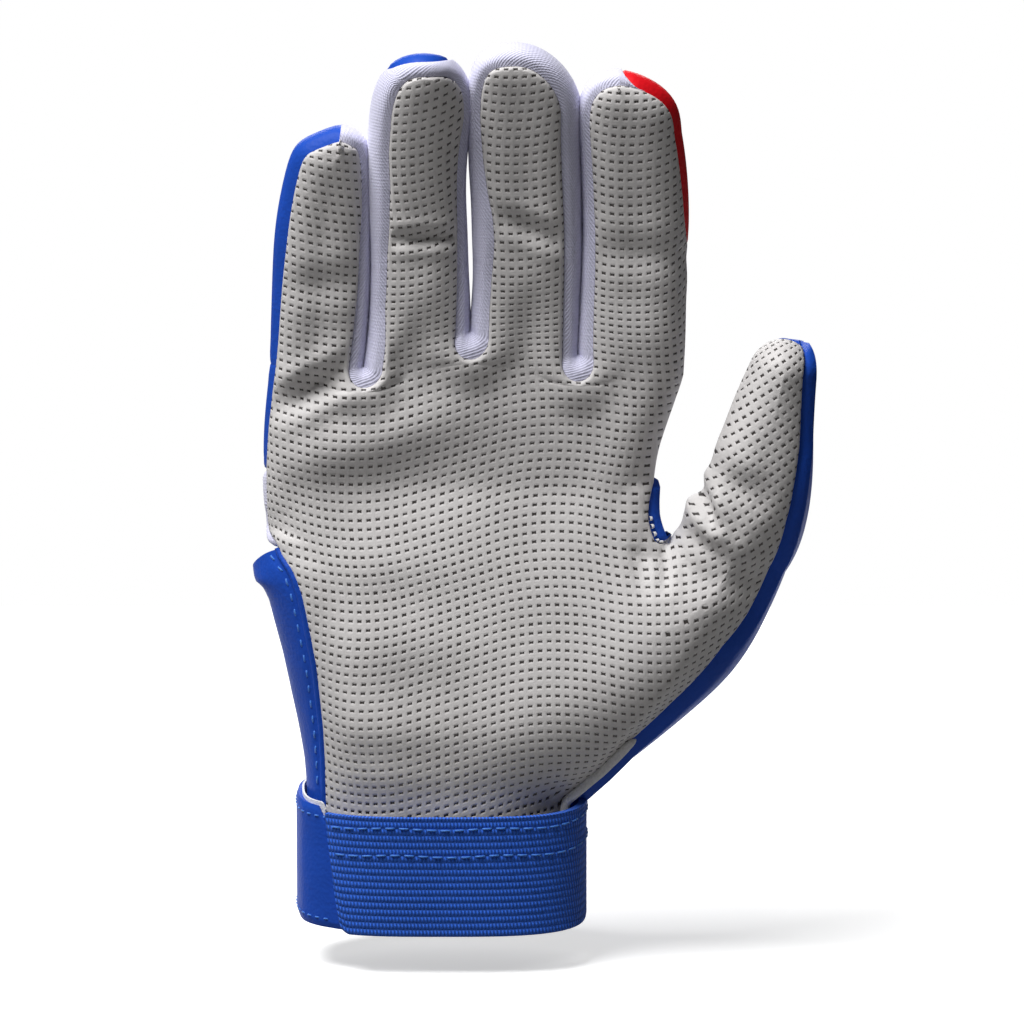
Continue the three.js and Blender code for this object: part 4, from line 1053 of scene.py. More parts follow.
def ribbed_knit(name, colour):
    """Warp-knitted nylon stretch fabric, with fine ribs along the strip and a slanted lay of loops.
    The eye sees bluish white, soft at grazing angles, with painted shade in the rib valleys. Real ribs are
    0.3 mm, drawn at 0.6 mm to show."""
    made, tree, shader = start_material(name, Roughness=0.9, Sheen_Weight=0.35, Sheen_Roughness=0.4)
    x, y, _ = split(tree, sheet_place(tree))
    ribs = waves(tree, maths(tree, "MULTIPLY_ADD", y, 0.55, x), 0.62)
    weave = maths(tree, "MULTIPLY_ADD", waves(tree, y, 0.8), 0.35, ribs)
    height = maths(tree, "MULTIPLY_ADD", noise(tree, 1.1, 4.0), 1.4, weave)
    # Colour follows the height: painted shade in the rib valleys, with random tone from the fuzz noise.
    dress(tree, shader, shades(tree, ranged(tree, height, -1.0, 1.8), colour, 0.82, 1.06), height, 0.35, 0.18)
    return made


def woven_elastic(name, colour):
    """Woven elastic tape: rubber cords under slanted polyester picks, one row of picks for each rib.
    The eye sees beaded ribs, with painted shade between them and a painted highlight on each bead."""
    made, tree, shader = start_material(name, Roughness=0.75, Sheen_Weight=0.08, Specular_IOR_Level=0.25)
    x, y, _ = split(tree, sheet_place(tree))
    picks = waves(tree, maths(tree, "MULTIPLY_ADD", y, 0.2, x), 0.85)
    ribs = maths(tree, "ABSOLUTE", waves(tree, y, 2 * RIB_PITCH))
    height = maths(tree, "MULTIPLY_ADD", maths(tree, "MULTIPLY", picks, ribs), 1.1, ribs)
    # Painted shade between the ribs and painted highlight on each bead, with random wear from the noise.
    painted_bead_light_and_wear = maths(tree, "MULTIPLY_ADD", noise(tree, 9, 3.0), 0.5, height)
    dress(tree, shader, shades(tree, ranged(tree, painted_bead_light_and_wear, -0.7, 2.0), colour, 0.35, 1.75), height, 0.6, 0.3)
    return made


def plain_cloth(name, colour, grain_mm, roughness):
    """Thread, tape or raw cloth edge: twisted or brushed fibre with no gloss.
    The eye sees one colour broken by its fibres."""
    made, tree, shader = start_material(name, Roughness=roughness, Sheen_Weight=0.2)
    fibre = noise(tree, grain_mm, 4.0)
    dress(tree, shader, shades(tree, fibre, colour, 0.6, 1.3), fibre, 0.5, 0.3)
    return made


# Each finish by its slot or thread: the material's name, its function, and a cloth's grain and roughness
FINISHES = {
    "palm_leather": ("perforated grey polyurethane leather", perforated_leather),
    "blue_leather": ("smooth blue polyurethane leather", smooth_leather),
    "red_leather": ("smooth red polyurethane leather", smooth_leather),
    "white_leather": ("smooth white polyurethane leather", smooth_leather),
    "white_knit": ("white ribbed nylon knit", ribbed_knit),
    "blue_elastic": ("blue woven elastic", woven_elastic),
    "hook_tape": ("nylon hook tape", plain_cloth, 0.7, 0.8),
    "loop_tape": ("brushed nylon loop tape", plain_cloth, 0.9, 1.0),
    "pale_binding": ("folded cloth binding", plain_cloth, 0.5, 0.8),
    "blue_thread": ("blue polyester thread", plain_cloth, 0.4, 0.55),
    "white_thread": ("white polyester thread", plain_cloth, 0.4, 0.6),
}


def finish(key):
    """The finish of that name, made from the colours of the scene the first time it is asked for."""
    name, make, *cloth = FINISHES[key]
    colours = bpy.context.scene.glove_colours
    return bpy.data.materials.get(name) or make(name, tuple(getattr(colours, key)), *cloth)


# Settings

def colour_property(label, code):
    text = f"Colour of the {label.lower()}"
    return FloatVectorProperty(name=label, description=text, subtype="COLOR", size=3, min=0, max=1,
                               default=linear(code))


class GLOVE_PG_colours(bpy.types.PropertyGroup):
    """Colours of the glove's leathers, cloths and threads"""
    palm_leather: colour_property("Palm leather", "#CBC8C7")
    blue_leather: colour_property("Blue leather", "#1C49AE")
    red_leather: colour_property("Red leather", "#D8121E")
    white_leather: colour_property("White leather", "#E6E5EC")
    white_knit: colour_property("White knit", "#D9D8F0")
    blue_elastic: colour_property("Blue elastic", "#2255B8")
    hook_tape: colour_property("Hook tape", "#16181F")
    loop_tape: colour_property("Loop tape", "#1A2F66")
    pale_binding: colour_property("Pale binding", "#F2F0F0")
    blue_thread: colour_property("Blue thread", "#2F74CF")
    white_thread: colour_property("White thread", "#E8E8F0")


def length_property(label, millimetres, text):
    return FloatProperty(name=label, description=text, subtype="DISTANCE", unit="LENGTH", min=0,
                         default=millimetres * MM)


class GLOVE_PG_sizes(bpy.types.PropertyGroup):
    """Thicknesses and small sizes of the glove"""
    leather_wall: length_property("Leather", 1.0, "Thickness of the leather panels")
    knit_wall: length_property("Knit", 0.9, "Thickness of the knit panels")
    elastic_wall: length_property("Elastic", 1.7, "Thickness of the elastic cuff")
    strap_wall: length_property("Strap", 1.5, "Thickness of the strap and its anchor")
    patch_wall: length_property("Patches", 1.1, "Thickness of the hook and loop patches")
    thread: length_property("Thread", 0.34, "Radius of the sewing thread")
    stitch: length_property("Stitch", 3.3, "Length from one stitch to the next")
    floor_gap: length_property("Floor gap", 9.5, "Gap between the cuff and the floor")


def in_mm(key):
    return getattr(bpy.context.scene.glove_sizes, key) / MM


# Bends: body pairs with the stretch in which a panel turns from one to the other

KNUCKLE_STRETCH = 0.3, 13  # above the crotch
JOINT_REACH = 7


def knuckle_bend(finger):
    foot = max(FORKS[f].bend for f in finger.forks if f is not None)
    low, high = KNUCKLE_STRETCH
    return "hand", f"{finger.name}_lower", (0, 0, foot + low), (0, 0, foot + high)


def joint_bend(finger):
    low, high = finger.joint - JOINT_REACH, finger.joint + JOINT_REACH
    return f"{finger.name}_lower", f"{finger.name}_upper", (0, 0, low), (0, 0, high)


def thumb_bend(low, high, first, second):
    axis = unit(np.subtract(THUMB_CROWN, THUMB_BASE))
    place = lambda along: (THUMB_BASE[0] + axis[0] * along, 0, THUMB_BASE[1] + axis[1] * along)
    return first, second, place(low), place(high)


LEVELS = ("lower", "upper")
BENDS = {finger.name: (knuckle_bend(finger), joint_bend(finger)) for finger in FINGERS}
BENDS["thumb"] = (thumb_bend(*THUMB_BENDS[0], "hand", "thumb_lower"),
                  thumb_bend(*THUMB_BENDS[1], "thumb_lower", "thumb_upper"))


def finger_parts(grid, finger):
    """A finger's grid cut at its crotch and between its bends: root, lower length, upper length."""
    arcs, roots, _, _ = finger_rows(finger)
    return grid.rows(0, arcs + 1), grid.rows(arcs, arcs + roots + 1), grid.rows(arcs + roots, None)


def thumb_parts(grid):
    webs, roots, _, _ = THUMB_ROWS
    return grid.rows(0, webs + 1), grid.rows(webs, webs + roots + 1), grid.rows(webs + roots, None)


HAND_COLUMNS = np.linspace(0, 1, 4 * FINGER_COLUMNS + 1)
SPLIT_COLUMN = int(BACK_SPLIT * 4 * FINGER_COLUMNS)


def risen(places, slopes):
    """Height of a row of slots by X: its slope, summed up from the first place on."""
    x = np.linspace(places[0], places[-1], 400)
    height = np.cumsum(np.interp(x, places, slopes)) * (x[1] - x[0])
    return lambda at: np.interp(at, x, height)


PALM_SLOT_RISE = risen((-45, -32, -20, -8, 12, 28, 40, 52, 62, 75, 90),
                       (-0.2, -0.2, 0, 0.27, 0.33, 0, -0.17, 0, 0.35, 0.6, 0.65))
FINGER_SLOT_RISE = risen((-45, -41, -19, -17, 6, 8, 33, 34, 59, 90),
                         (-0.35, -0.35, -0.1, -0.15, 0.6, -0.25, 0.5, -0.35, 0.55, 0.55))


def warped(sheet):
    """The palm's sheet as it was stretched over the hand: its rows of slots rise and fall over the palm, each
    finger has its own fall and rise, and the thumb's rows are turned."""
    x, z = sheet[..., 0], sheet[..., 1]
    share = thumb_share(x, z)
    drift = 0.7 * np.sin(z / 13.0 + x / 30) + 0.5 * np.sin(z / 7.0)
    flat = z - lerp(PALM_SLOT_RISE(x), FINGER_SLOT_RISE(x), smooth(z, 134, 160))
    (middle_x, middle_z), turn = THUMB_SLOTS_PIVOT, THUMB_SLOTS_TURN
    u = (x - middle_x) * np.cos(turn) + (z - middle_z) * np.sin(turn) + middle_x
    v = (z - middle_z) * np.cos(turn) - (x - middle_x) * np.sin(turn) + middle_z - PALM_SLOT_RISE(middle_x)
    return np.stack([lerp(x + drift, u, share), lerp(flat, v, share)], -1)


class GLOVE_OT_palm(bpy.types.Operator):
    """Palm leather with the fronts of the fingers and the thumb, in one sewn surface"""
    bl_idname = "glove.palm"
    bl_label = "Palm and finger fronts"

    def execute(self, context):
        low_rim, high_rim = hand_rims(FRONT)
        low, high = hand_places(FRONT, HAND_COLUMNS)
        grids = [
            near_seam(beside(seam_strip(low_rim, FRONT, True), inner(low[:, 1:], FRONT)), "l"),
            near_seam(beside(seam_strip(high_rim, FRONT, True), inner(high[:, 1:-1], FRONT),
                             seam_strip(inner_rim(HIGH_ROWS), FRONT, False)), "lr"),
            mound_grids(FRONT),
        ]
        grids[1].seam = np.minimum(grids[1].seam, crotch_gap(grids[1].points))
        web, thumb_low, thumb_high = thumb_parts(stall(*thumb_rims(), FRONT, MOUND_COLUMNS))
        grids.append(web)
        lengths = []
        for i, finger in enumerate(FINGERS):
            root, *both = finger_parts(finger_stall(i, FRONT), finger)
            grids.append(root)
            lengths += both
        hand_count = len(grids)
        grids += lengths + [thumb_low, thumb_high]
        for grid in grids:
            grid.sheet = warped(grid.sheet)
        made = Skin(grids, lambda p, seam: palm_relief(p, seam) + seam_dip(seam, 0.7, 1.3))
        wall = in_mm("leather_wall")
        finish_piece(made.piece("palm", range(hand_count), wall), "palm_leather", "hand", "palm_panel")
        for i, (digit, bends) in enumerate(BENDS.items()):
            for k, level in enumerate(LEVELS):
                piece = made.piece(f"{digit}_front_{level}", [hand_count + 2 * i + k], wall)
                finish_piece(piece, "palm_leather", bends[k], f"{digit}_{level}_front")
        return {"FINISHED"}


def knit_strip(rim_row):
    """A knit band between its two seams, whose sheet runs across it and along it."""
    grid = near_seam(strip(rim_row, rim_row.back, rim_row.front, KNIT_COLUMNS), "lr")
    along = np.broadcast_to(run_lengths(grid.points, 0).mean(1)[:, None], grid.seam.shape)
    grid.sheet = np.stack([run_lengths(grid.points, 1), along], -1)
    return grid


def knit_relief(points, seam):
    """Height of a knit band: a soft roll between its seams."""
    x, z = points[..., 0], points[..., 2]
    wave = np.sin(z / 4.3 + x / 3.0) * np.sin(z / 9.1)
    return 0.6 * smooth(seam, 0, 2.0) + seam_dip(seam, 0.6, 0.8) + 0.08 * wave * smooth(seam, 0.5, 2.5)


def up_and_over(i):
    """Rims of a finger's knit above its split: both sides over the tip, or one side up to its middle."""
    finger = FINGERS[i]
    arcs, roots, _, _ = finger_rows(finger)
    left, right = finger_rim(i, LEFT)[arcs + roots:], finger_rim(i, RIGHT)[arcs + roots:]
    if finger.forks[0] is None:
        return right
    if finger.forks[1] is None:
        right = right[-DOME_ROWS - 1:]
    return join(left, right[-2::-1])


class GLOVE_OT_knit(bpy.types.Operator):
    """Knit between the fingers: the crotches, the sides of the fingers and the bands over their tips"""
    bl_idname = "glove.knit"
    bl_label = "Knit finger sides"

    def execute(self, context):
        grids, pieces = [], []
        for i, name in enumerate(("pinky_ring", "ring_middle", "middle_index")):
            left, right = finger_rim(i, RIGHT)[ARC_ROWS::-1], finger_rim(i + 1, LEFT)[1:ARC_ROWS + 1]
            grids.append(knit_strip(join(left, right)))
            pieces.append((f"{name}_crotch", "hand", f"{name}_fourchette"))
        for i, finger in enumerate(FINGERS):
            name, (knuckle, joint) = finger.name, BENDS[finger.name]
            for side, word, fork in zip((LEFT, RIGHT), ("left", "right"), finger.forks):
                if fork is not None:
                    grids.append(knit_strip(finger_rim(i, side)[ARC_ROWS:ARC_ROWS + ROOT_ROWS + 1]))
                    pieces.append((f"{name}_{word}_side", knuckle, f"{name}_lower_{word}_gusset"))
            grids.append(knit_strip(up_and_over(i)))
            pieces.append((f"{name}_tip_band", joint, f"{name}_tip_gusset"))
        made = Skin(grids, knit_relief)
        for k, (name, body, node) in enumerate(pieces):
            finish_piece(made.piece(name, [k], in_mm("knit_wall")), "white_knit", body, node)
        return {"FINISHED"}


KNUCKLE_REST = 0.8  # by which the seam across the knuckles is flatter than others


def leather_back(points, seam):
    """Height of a leather back: its wave, a low cushion and its edge turned under."""
    return back_relief(points) + 0.25 * smooth(seam, 0, 4) + seam_dip(seam, 0.9, 1.3)


FINGER_BACKS = ("blue_leather", "blue_leather", "white_leather", "red_leather")


class GLOVE_OT_finger_backs(bpy.types.Operator):
    """Leather backs of the four fingers"""
    bl_idname = "glove.finger_backs"
    bl_label = "Finger backs"

    def execute(self, context):
        for i, (finger, slot) in enumerate(zip(FINGERS, FINGER_BACKS)):
            _, lower, upper = finger_parts(finger_stall(i, BACK), finger)
            made = Skin([near_seam(lower, "b", KNUCKLE_REST), upper], leather_back)
            for k, level in enumerate(LEVELS):
                piece = made.piece(f"{finger.name}_back_{level}", [k], in_mm("leather_wall"))
                finish_piece(piece, slot, BENDS[finger.name][k], f"{finger.name}_{level}_back")
        return {"FINISHED"}


class GLOVE_OT_back_panels(bpy.types.Operator):
    """Back of the hand: knuckle panel, knit panel, wrist panel, and the thumb's base with its back"""
    bl_idname = "glove.back_panels"
    bl_label = "Back panels"

    def execute(self, context):
        low_rim, high_rim = hand_rims(BACK)
        low, high = hand_places(BACK, HAND_COLUMNS)
        web_side = seam_strip(inner_rim(HIGH_ROWS), BACK, False)
        low_side, high_side = seam_strip(low_rim, BACK, True), seam_strip(high_rim, BACK, True)
        wall = in_mm("leather_wall")
        wrist = near_seam(beside(low_side, inner(low[:, 1:SPLIT_COLUMN + 1], BACK)), "rt")
        sew("wrist_back", wrist, leather_back, wall, "blue_leather", "hand", "wrist_panel")
        knit = beside(high_side, inner(high[:, 1:SPLIT_COLUMN + 1], BACK)).rows(0, KNIT_ROW + 1)
        near_seam(knit, "lrtb")
        sew("back_knit", knit, knit_relief, in_mm("knit_wall"), "white_knit", "hand", "back_knit_panel")
        knuckle = beside(high_side, inner(high[:, 1:-1], BACK), web_side).rows(KNIT_ROW, None)
        roots = [finger_parts(finger_stall(i, BACK), finger)[0] for i, finger in enumerate(FINGERS)]
        grids = [near_seam(knuckle, "lrb")] + [near_seam(root, "t", KNUCKLE_REST) for root in roots]
        piece = Skin(grids, leather_back).piece("knuckle_back", range(5), wall)
        finish_piece(piece, "blue_leather", "hand", "knuckle_panel")
        web, thumb_low, thumb_high = thumb_parts(stall(*thumb_rims(), BACK, MOUND_COLUMNS))
        base = [
            near_seam(inner(low[:, SPLIT_COLUMN:], BACK), "l"),
            near_seam(beside(inner(high[:, SPLIT_COLUMN:-1], BACK), web_side).rows(0, KNIT_ROW + 1), "lrt"),
            mound_grids(BACK), web, thumb_low, thumb_high,
        ]
        made = Skin(base, lambda p, seam: leather_back(p, seam) + welt(seam, 4.0, 1.6))
        piece = made.piece("thumb_base_back", range(4), wall)
        finish_piece(piece, "blue_leather", "hand", "thumb_base_panel")
        for k, level in enumerate(LEVELS):
            piece = made.piece(f"thumb_back_{level}", [4 + k], wall)
            finish_piece(piece, "blue_leather", BENDS["thumb"][k], f"thumb_{level}_back")
        return {"FINISHED"}


def facing_relief(points, seam):
    """Height of the vent facing: raised off its seam, with a welt beside it and its edge turned under."""
    return 0.4 * smooth(seam, 2, 4) + welt(seam, 1.9, 0.6) + seam_dip(seam, 0.3, 0.6)


def no_relief(points, seam):
    return 0 * seam


class GLOVE_OT_vent(bpy.types.Operator):
    """Folded leather facing along the slit on the little-finger side"""
    bl_idname = "glove.vent"
    bl_label = "Vent facing"

    def execute(self, context):
        grid = self.folded()
        wall = in_mm("leather_wall")
        sew("vent_facing_fold", grid, facing_relief, wall, "blue_leather", "hand", "vent_facing")
        rows = grid.seam[VENT_FIRST_ROW:]
        spots = [np.interp(VENT_STITCH_INSET, row[::-1], np.arange(len(row))[::-1]) for row in rows]
        place = lambda values: np.stack([values[VENT_FIRST_ROW + k, int(at)] for k, at in enumerate(spots)])
        points, normals = place(grid.points), place(grid.normals)
        row = stitch_row(points + 0.1 * normals, normals, VENT_STITCH, 0.55)
        add_rows("vent_stitches", [row], 0.7 * in_mm("thread"), "hand")
        return {"FINISHED"}

    def folded(self):
        """The strip from the back over the hand's edge to the palm, its top corner cut off and flared out."""
        edge = ulnar_rim(LOW_ROWS, -VENT_BACK)
        grid = near_seam(strip(edge, edge.back, edge.front + 0.8, 44), "r")
        z, share = grid.points[..., 2], np.linspace(0, 1, 45)
        flare = np.interp(z, *VENT_FLARE) * np.sin(np.pi * np.clip(share * 1.15, 0, 1))
        drop = 6.3 * smooth(z, 80, 92) * (1 - smooth(share, 0.35, 1.0))
        grid.points = grid.points + np.stack([-flare, 0.25 * flare, -drop], -1)
        return grid


# Cuff and closure

def wrist_ring(angles):
    """X, Y and power of the unit ring round the wrist: a superellipse, squarer on its palm side."""
    turn = np.radians(angles)
    power = np.where(np.sin(turn) < 0, CUFF_POWER, EDGE_POWER)
    size = lambda v: np.sign(v) * np.abs(v) ** (2 / power)
    return size(np.cos(turn)), size(np.sin(turn)), power


ROUND_ANGLES = np.linspace(0, 450, 9001)
ROUND_ARC = np.r_[0, np.cumsum(np.hypot(np.diff(wrist_ring(ROUND_ANGLES)[0]) * (WRIST_WIDTH + CUFF_LIFT),
                                        np.diff(wrist_ring(ROUND_ANGLES)[1]) * (WRIST_DEPTH + CUFF_LIFT)))]


def round_wrist(start, end, count):
    """Angles from start to end at even lengths round the wrist, on a last axis of that count."""
    ends = [np.interp(np.asarray(angle, float), ROUND_ANGLES, ROUND_ARC)[..., None] for angle in (start, end)]
    return np.interp(lerp(*ends, np.linspace(0, 1, count)), ROUND_ARC, ROUND_ANGLES)


def wrist_grid(angles, heights, lift):
    """A band round the wrist: the ring widened by lift, with its edges tilted up towards the back."""
    angles, heights, lift = np.broadcast_arrays(angles, np.asarray(heights, float)[:, None], lift)
    x, y, power = wrist_ring(angles)
    width, depth = WRIST_WIDTH + lift, WRIST_DEPTH + lift
    slope = lambda v: np.sign(v) * np.abs(v) ** (power - 1)
    normal = unit(np.stack([slope(x) / width, slope(y) / depth, np.zeros_like(x)], -1))
    points = np.stack([x * width, y * depth, heights + CUFF_TILT * (y + 1) * depth], -1)
    return Grid(points, normal, np.stack([np.interp(angles, ROUND_ANGLES, ROUND_ARC), heights], -1))


def elastic_angles(heights, count):
    """Angles of the elastic's columns, from its slanted front end on."""
    start = ELASTIC_START + ELASTIC_SLANT * (1 - np.asarray(heights, float) / CUFF_TOP)
    return round_wrist(start, np.full_like(start, ELASTIC_END), count)


def root_lift(angles):
    """How far the strap's root stands off the wrist: most at the hand's edge, close under the elastic."""
    return np.interp(angles, (151, 165, 180, 200, 215, 225), (2.0, 2.4, 2.5, 2.1, 1.2, 0.7))


def strap_lift(angles):
    """How far the strap stands off the wrist: clear of its patches, then down to its hinge."""
    return lerp(STRAP_LIFT, ANCHOR_LIFT, smooth(angles, STRAP_FLAT, STRAP_HINGE))


class GLOVE_OT_cuff(bpy.types.Operator):
    """Ribbed elastic cuff, the strap's root, the closure strap and its hook and loop patches"""
    bl_idname = "glove.cuff"
    bl_label = "Cuff and strap"

    def execute(self, context):
        piece = self.elastic().piece("elastic_cuff", [0], in_mm("elastic_wall"))
        finish_piece(piece, "blue_elastic", "hand", "cuff_elastic")
        wall, rows = in_mm("strap_wall"), np.linspace(0, 1, STRAP_ROWS)
        angles = round_wrist(STRAP_HINGE + 0.9, ROOT_END, 90)
        grid = wrist_grid(angles, np.linspace(0.6, CUFF_TOP + 1.2, STRAP_ROWS), root_lift(angles))
        near_seam(grid, "bt")
        grid.points[..., 2] -= ROOT_DIP * smooth(angles, *ROOT_TUCK) * rows[:, None]
        relief = lambda p, seam: 0.5 * smooth(seam, 0, 1.5)
        sew("strap_root", grid, relief, wall, "blue_leather", "hand", "strap_anchor")
        angles = round_wrist(*LINING_SPAN, 80)
        lining = wrist_grid(angles, np.linspace(20.0, CUFF_TOP + 1.9, 12), root_lift(angles) - 0.9)
        lining.points[..., 2] -= ROOT_DIP * smooth(angles, *ROOT_TUCK)
        sew("strap_lining", lining, no_relief, LINING_WALL, "pale_binding", "hand")
        angles = np.linspace(STRAP_END, STRAP_HINGE, 110)
        grid = wrist_grid(angles, np.linspace(2, CUFF_TOP - 2, STRAP_ROWS), strap_lift(angles))
        relief = lambda p, seam: 0.4 * smooth(seam, 0, 1.5) - 0.4
        sew("strap", near_seam(grid, "lbt"), relief, wall, "blue_leather", "strap", "closure_strap")
        for kind, lift, body in (("loop", LOOP_LIFT, "hand"), ("hook", HOOK_LIFT, "strap")):
            grid = wrist_grid(np.linspace(PATCH_START, PATCH_END, 40), np.linspace(5, 24, 30), lift)
            wall = in_mm("patch_wall")
            sew(f"{kind}_tape_patch", grid, no_relief, wall, f"{kind}_tape", body, f"{kind}_patch")
        return {"FINISHED"}

    def elastic(self):
        """The elastic's band: slanted front end, rounded lower corner, and ribs as |sin| of the height."""
        heights = np.linspace(0, CUFF_TOP, 121)
        grid = wrist_grid(elastic_angles(heights, 241), heights, CUFF_LIFT)
        away = np.clip(1 - (grid.sheet[..., 0] - grid.sheet[:, :1, 0]) / 2.8, 0, 1)
        grid.points[..., 2] += 1.7 * away ** 2 * (1 - heights[:, None] / CUFF_TOP) ** 4
        made = Skin([grid], no_relief)
        ribs = np.abs(np.sin(np.pi * made.sheet[:, 1] / RIB_PITCH))
        made.points += made.normals * (0.1 * ribs - 0.12)[:, None]
        made.normals = skin_normals(made.points, np.concatenate(made.cells))
        return made


BINDING_START, BINDING_END, BINDING_COUNT = -0.12, 0.23, 70  # shares of the mound's edge, and points
BINDING_RADIUS = 1.1


class GLOVE_OT_binding(bpy.types.Operator):
    """Pale folded binding on the seam between the thumb's base and the cuff"""
    bl_idname = "glove.binding"
    bl_label = "Wrist binding"

    def execute(self, context):
        share = np.linspace(BINDING_START, BINDING_END, BINDING_COUNT)
        edge = rim(MOUND, share, -1, np.interp(share, *MOUND_SEAM), 0)
        inset = edge.front + 0.6 + 1.6 * np.clip(1 - share / BINDING_END, 0, 1) ** 1.5
        grid = strip(edge, inset + 0.4, inset - 0.4, 1)
        path = grid.points.mean(1) + grid.normals.mean(1) * 0.8
        ends = np.linspace(-1, 1, BINDING_COUNT)
        radius = BINDING_RADIUS * np.sqrt(np.clip(1 - ends ** 8, 0.02, 1))
        finish_piece(tube("binding", path, radius, 14), "pale_binding", "hand", "wrist_binding")
        return {"FINISHED"}


def smooth_object(name, points, faces):
    mesh = bpy.data.meshes.new(name)
    mesh.from_pydata((points * MM).tolist(), [], faces)
    mesh.polygons.foreach_set("use_smooth", np.ones(len(mesh.polygons), bool))
    return new_object(name, mesh)


def tube(name, path, radius, sides):
    """A round profile carried along a path, closed at both ends by a point."""
    tangent = unit(np.gradient(path, axis=0))
    across = unit(np.cross(tangent, (0.3, 1.0, 0.2)))
    up = np.cross(tangent, across)
    turn = np.linspace(0, 2 * np.pi, sides, endpoint=False)
    ring = across[:, None] * np.cos(turn)[:, None] + up[:, None] * np.sin(turn)[:, None]
    points = np.concatenate([(path[:, None] + ring * radius[:, None, None]).reshape(-1, 3), path[[0, -1]]])
    index = np.arange(len(path) * sides).reshape(-1, sides)
    after = np.roll(index, -1, 1)
    walls = np.stack([index[:-1], after[:-1], after[1:], index[1:]], -1).reshape(-1, 4)
    ends = len(points) - 2
    first = np.stack([after[0], index[0], np.full(sides, ends)], -1)
    last = np.stack([index[-1], after[-1], np.full(sides, ends + 1)], -1)
    return smooth_object(name, points, walls.tolist() + first.tolist() + last.tolist())


STITCH_SIDES = 6


def stitches(name, starts, ends, normals, thickness):
    """Stitches as short bowed tubes: each leaves the cloth, lies on it and goes in again."""
    count, turn = len(starts), np.linspace(0, 2 * np.pi, STITCH_SIDES, endpoint=False)
    share = np.array([0.0, 0.12, 0.5, 0.88, 1.0])
    lift = np.array([-0.9, 0.35, 0.6, 0.35, -0.9]) * thickness
    width = np.array([0.55, 1.0, 1.05, 1.0, 0.55]) * thickness
    axis = unit(ends - starts)
    side = unit(np.cross(axis, normals))
    path = lerp(starts[:, None], ends[:, None], share[:, None]) + normals[:, None] * lift[:, None]
    ring = side[:, None, None] * np.cos(turn)[:, None] + normals[:, None, None] * np.sin(turn)[:, None]
    points = path[:, :, None] + ring * width[:, None, None]
    index = np.arange(len(share) * STITCH_SIDES).reshape(-1, STITCH_SIDES)
    firsts = np.arange(count)[:, None, None] * index.size
    after = np.roll(index, -1, 1)
    walls = np.stack([index[:-1], index[1:], after[1:], after[:-1]], -1).reshape(-1, 4)
    faces = (walls[None] + firsts).reshape(-1, 4)
    caps = (np.stack([index[0], index[-1, ::-1]])[None] + firsts).reshape(-1, STITCH_SIDES)
    return smooth_object(name, points.reshape(-1, 3), faces.tolist() + caps.tolist())


def stitch_row(path, normals, pitch, fill):
    """Starts, ends and normals of stitches laid along a path, each filling a share of the pitch."""
    length = np.r_[0, np.cumsum(np.linalg.norm(np.diff(path, axis=0), axis=1))]
    count = max(int(length[-1] / pitch), 1)
    first = (np.arange(count) + 0.5 * (1 - fill)) * length[-1] / count
    at = lambda values, place: np.stack([np.interp(place, length, values[:, k]) for k in range(3)], -1)
    last = first + fill * length[-1] / count
    return at(path, first), at(path, last), unit(at(normals, (first + last) / 2))


def add_rows(name, rows, thickness, body, thread="blue_thread"):
    parts = [np.concatenate(part) for part in zip(*rows)]
    piece = stitches(name, *parts, thickness)
    piece.data.materials.append(finish(thread))
    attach(piece, body)


def band_rows(angles, heights, lift, fill):
    """Rows of stitches round the wrist, one at each height."""
    grids = [wrist_grid(angles, [height], lift) for height in heights]
    return [stitch_row(grid.points[0], grid.normals[0], STRAP_STITCH, fill) for grid in grids]


class GLOVE_OT_thread(bpy.types.Operator):
    """Rows of stitches on the cuff and the strap"""
    bl_idname = "glove.thread"
    bl_label = "Stitches"

    def execute(self, context):
        pitch, thread = in_mm("stitch"), in_mm("thread")
        rows = []
        for height in CUFF_STITCH_ROWS:
            grid = wrist_grid(elastic_angles([height], 300)[:, 3:-3], [height], CUFF_LIFT)
            wander = 0.25 * np.sin(grid.sheet[0, :, 0] / 4.0 + height)[:, None] * np.array([0, 0, 1])
            rows.append(stitch_row(grid.points[0] + wander, grid.normals[0], pitch, 0.72))
        add_rows("cuff_stitches", rows, 0.7 * thread, "hand")
        angles = round_wrist(STRAP_HINGE + 2, ELASTIC_START + 1, 120)
        rows = band_rows(angles, (2.8, CUFF_TOP - 1.2), root_lift(angles) + 0.45, 0.5)
        add_rows("strap_root_stitches", rows, 0.6 * thread, "hand")
        angles = np.linspace(STRAP_END + 2.5, STRAP_HINGE - 1, 200)
        rows = band_rows(angles, (4.2, CUFF_TOP - 4.2), strap_lift(angles), 0.6)
        add_rows("strap_stitches", rows, 0.7 * thread, "strap")
        edge = inner_rim(np.linspace(VENT_END, lerp(VENT_END, 1, WEB_STITCHED), 80))[:-1]
        grid = strip(edge, edge.front + 0.4, edge.front - 0.5, 1)
        row = stitch_row(grid.points.mean(1), grid.normals.mean(1), WEB_STITCH, 0.6)
        add_rows("web_stitches", [row], thread, "hand", "white_thread")
        return {"FINISHED"}


# Stage

CAMERA_ELEVATION, CAMERA_DISTANCE = 10.0, 1600.0
CAMERA_AIM = (16.7, 0.0, 99.6)
PICTURE_WIDTH = 245.8  # millimetres across the picture at the aim
SENSOR_WIDTH = 36.0
# In metres: the floor's reach, and each lamp's name, place, size and power
FLOOR_LEFT, FLOOR_RIGHT, FLOOR_FRONT, FLOOR_REAR = -0.7, 0.7, -0.9, 0.45
LAMP_AIM = (0.01, 0, 0.1)
LAMPS = (("key_lamp", (-0.46, -0.36, 1.25), 0.8, 27), ("back_lamp", (-0.1, 1.2, 0.6), 0.9, 7))
FLOOR_LIT, FLOOR_SEEN, FLOOR_GLOW = 0.14, 0.75, 0.5  # grey for light, grey for the camera, and glow
WORLD_STRENGTH = 0.065  # of the surroundings as light; to the camera they are plain white


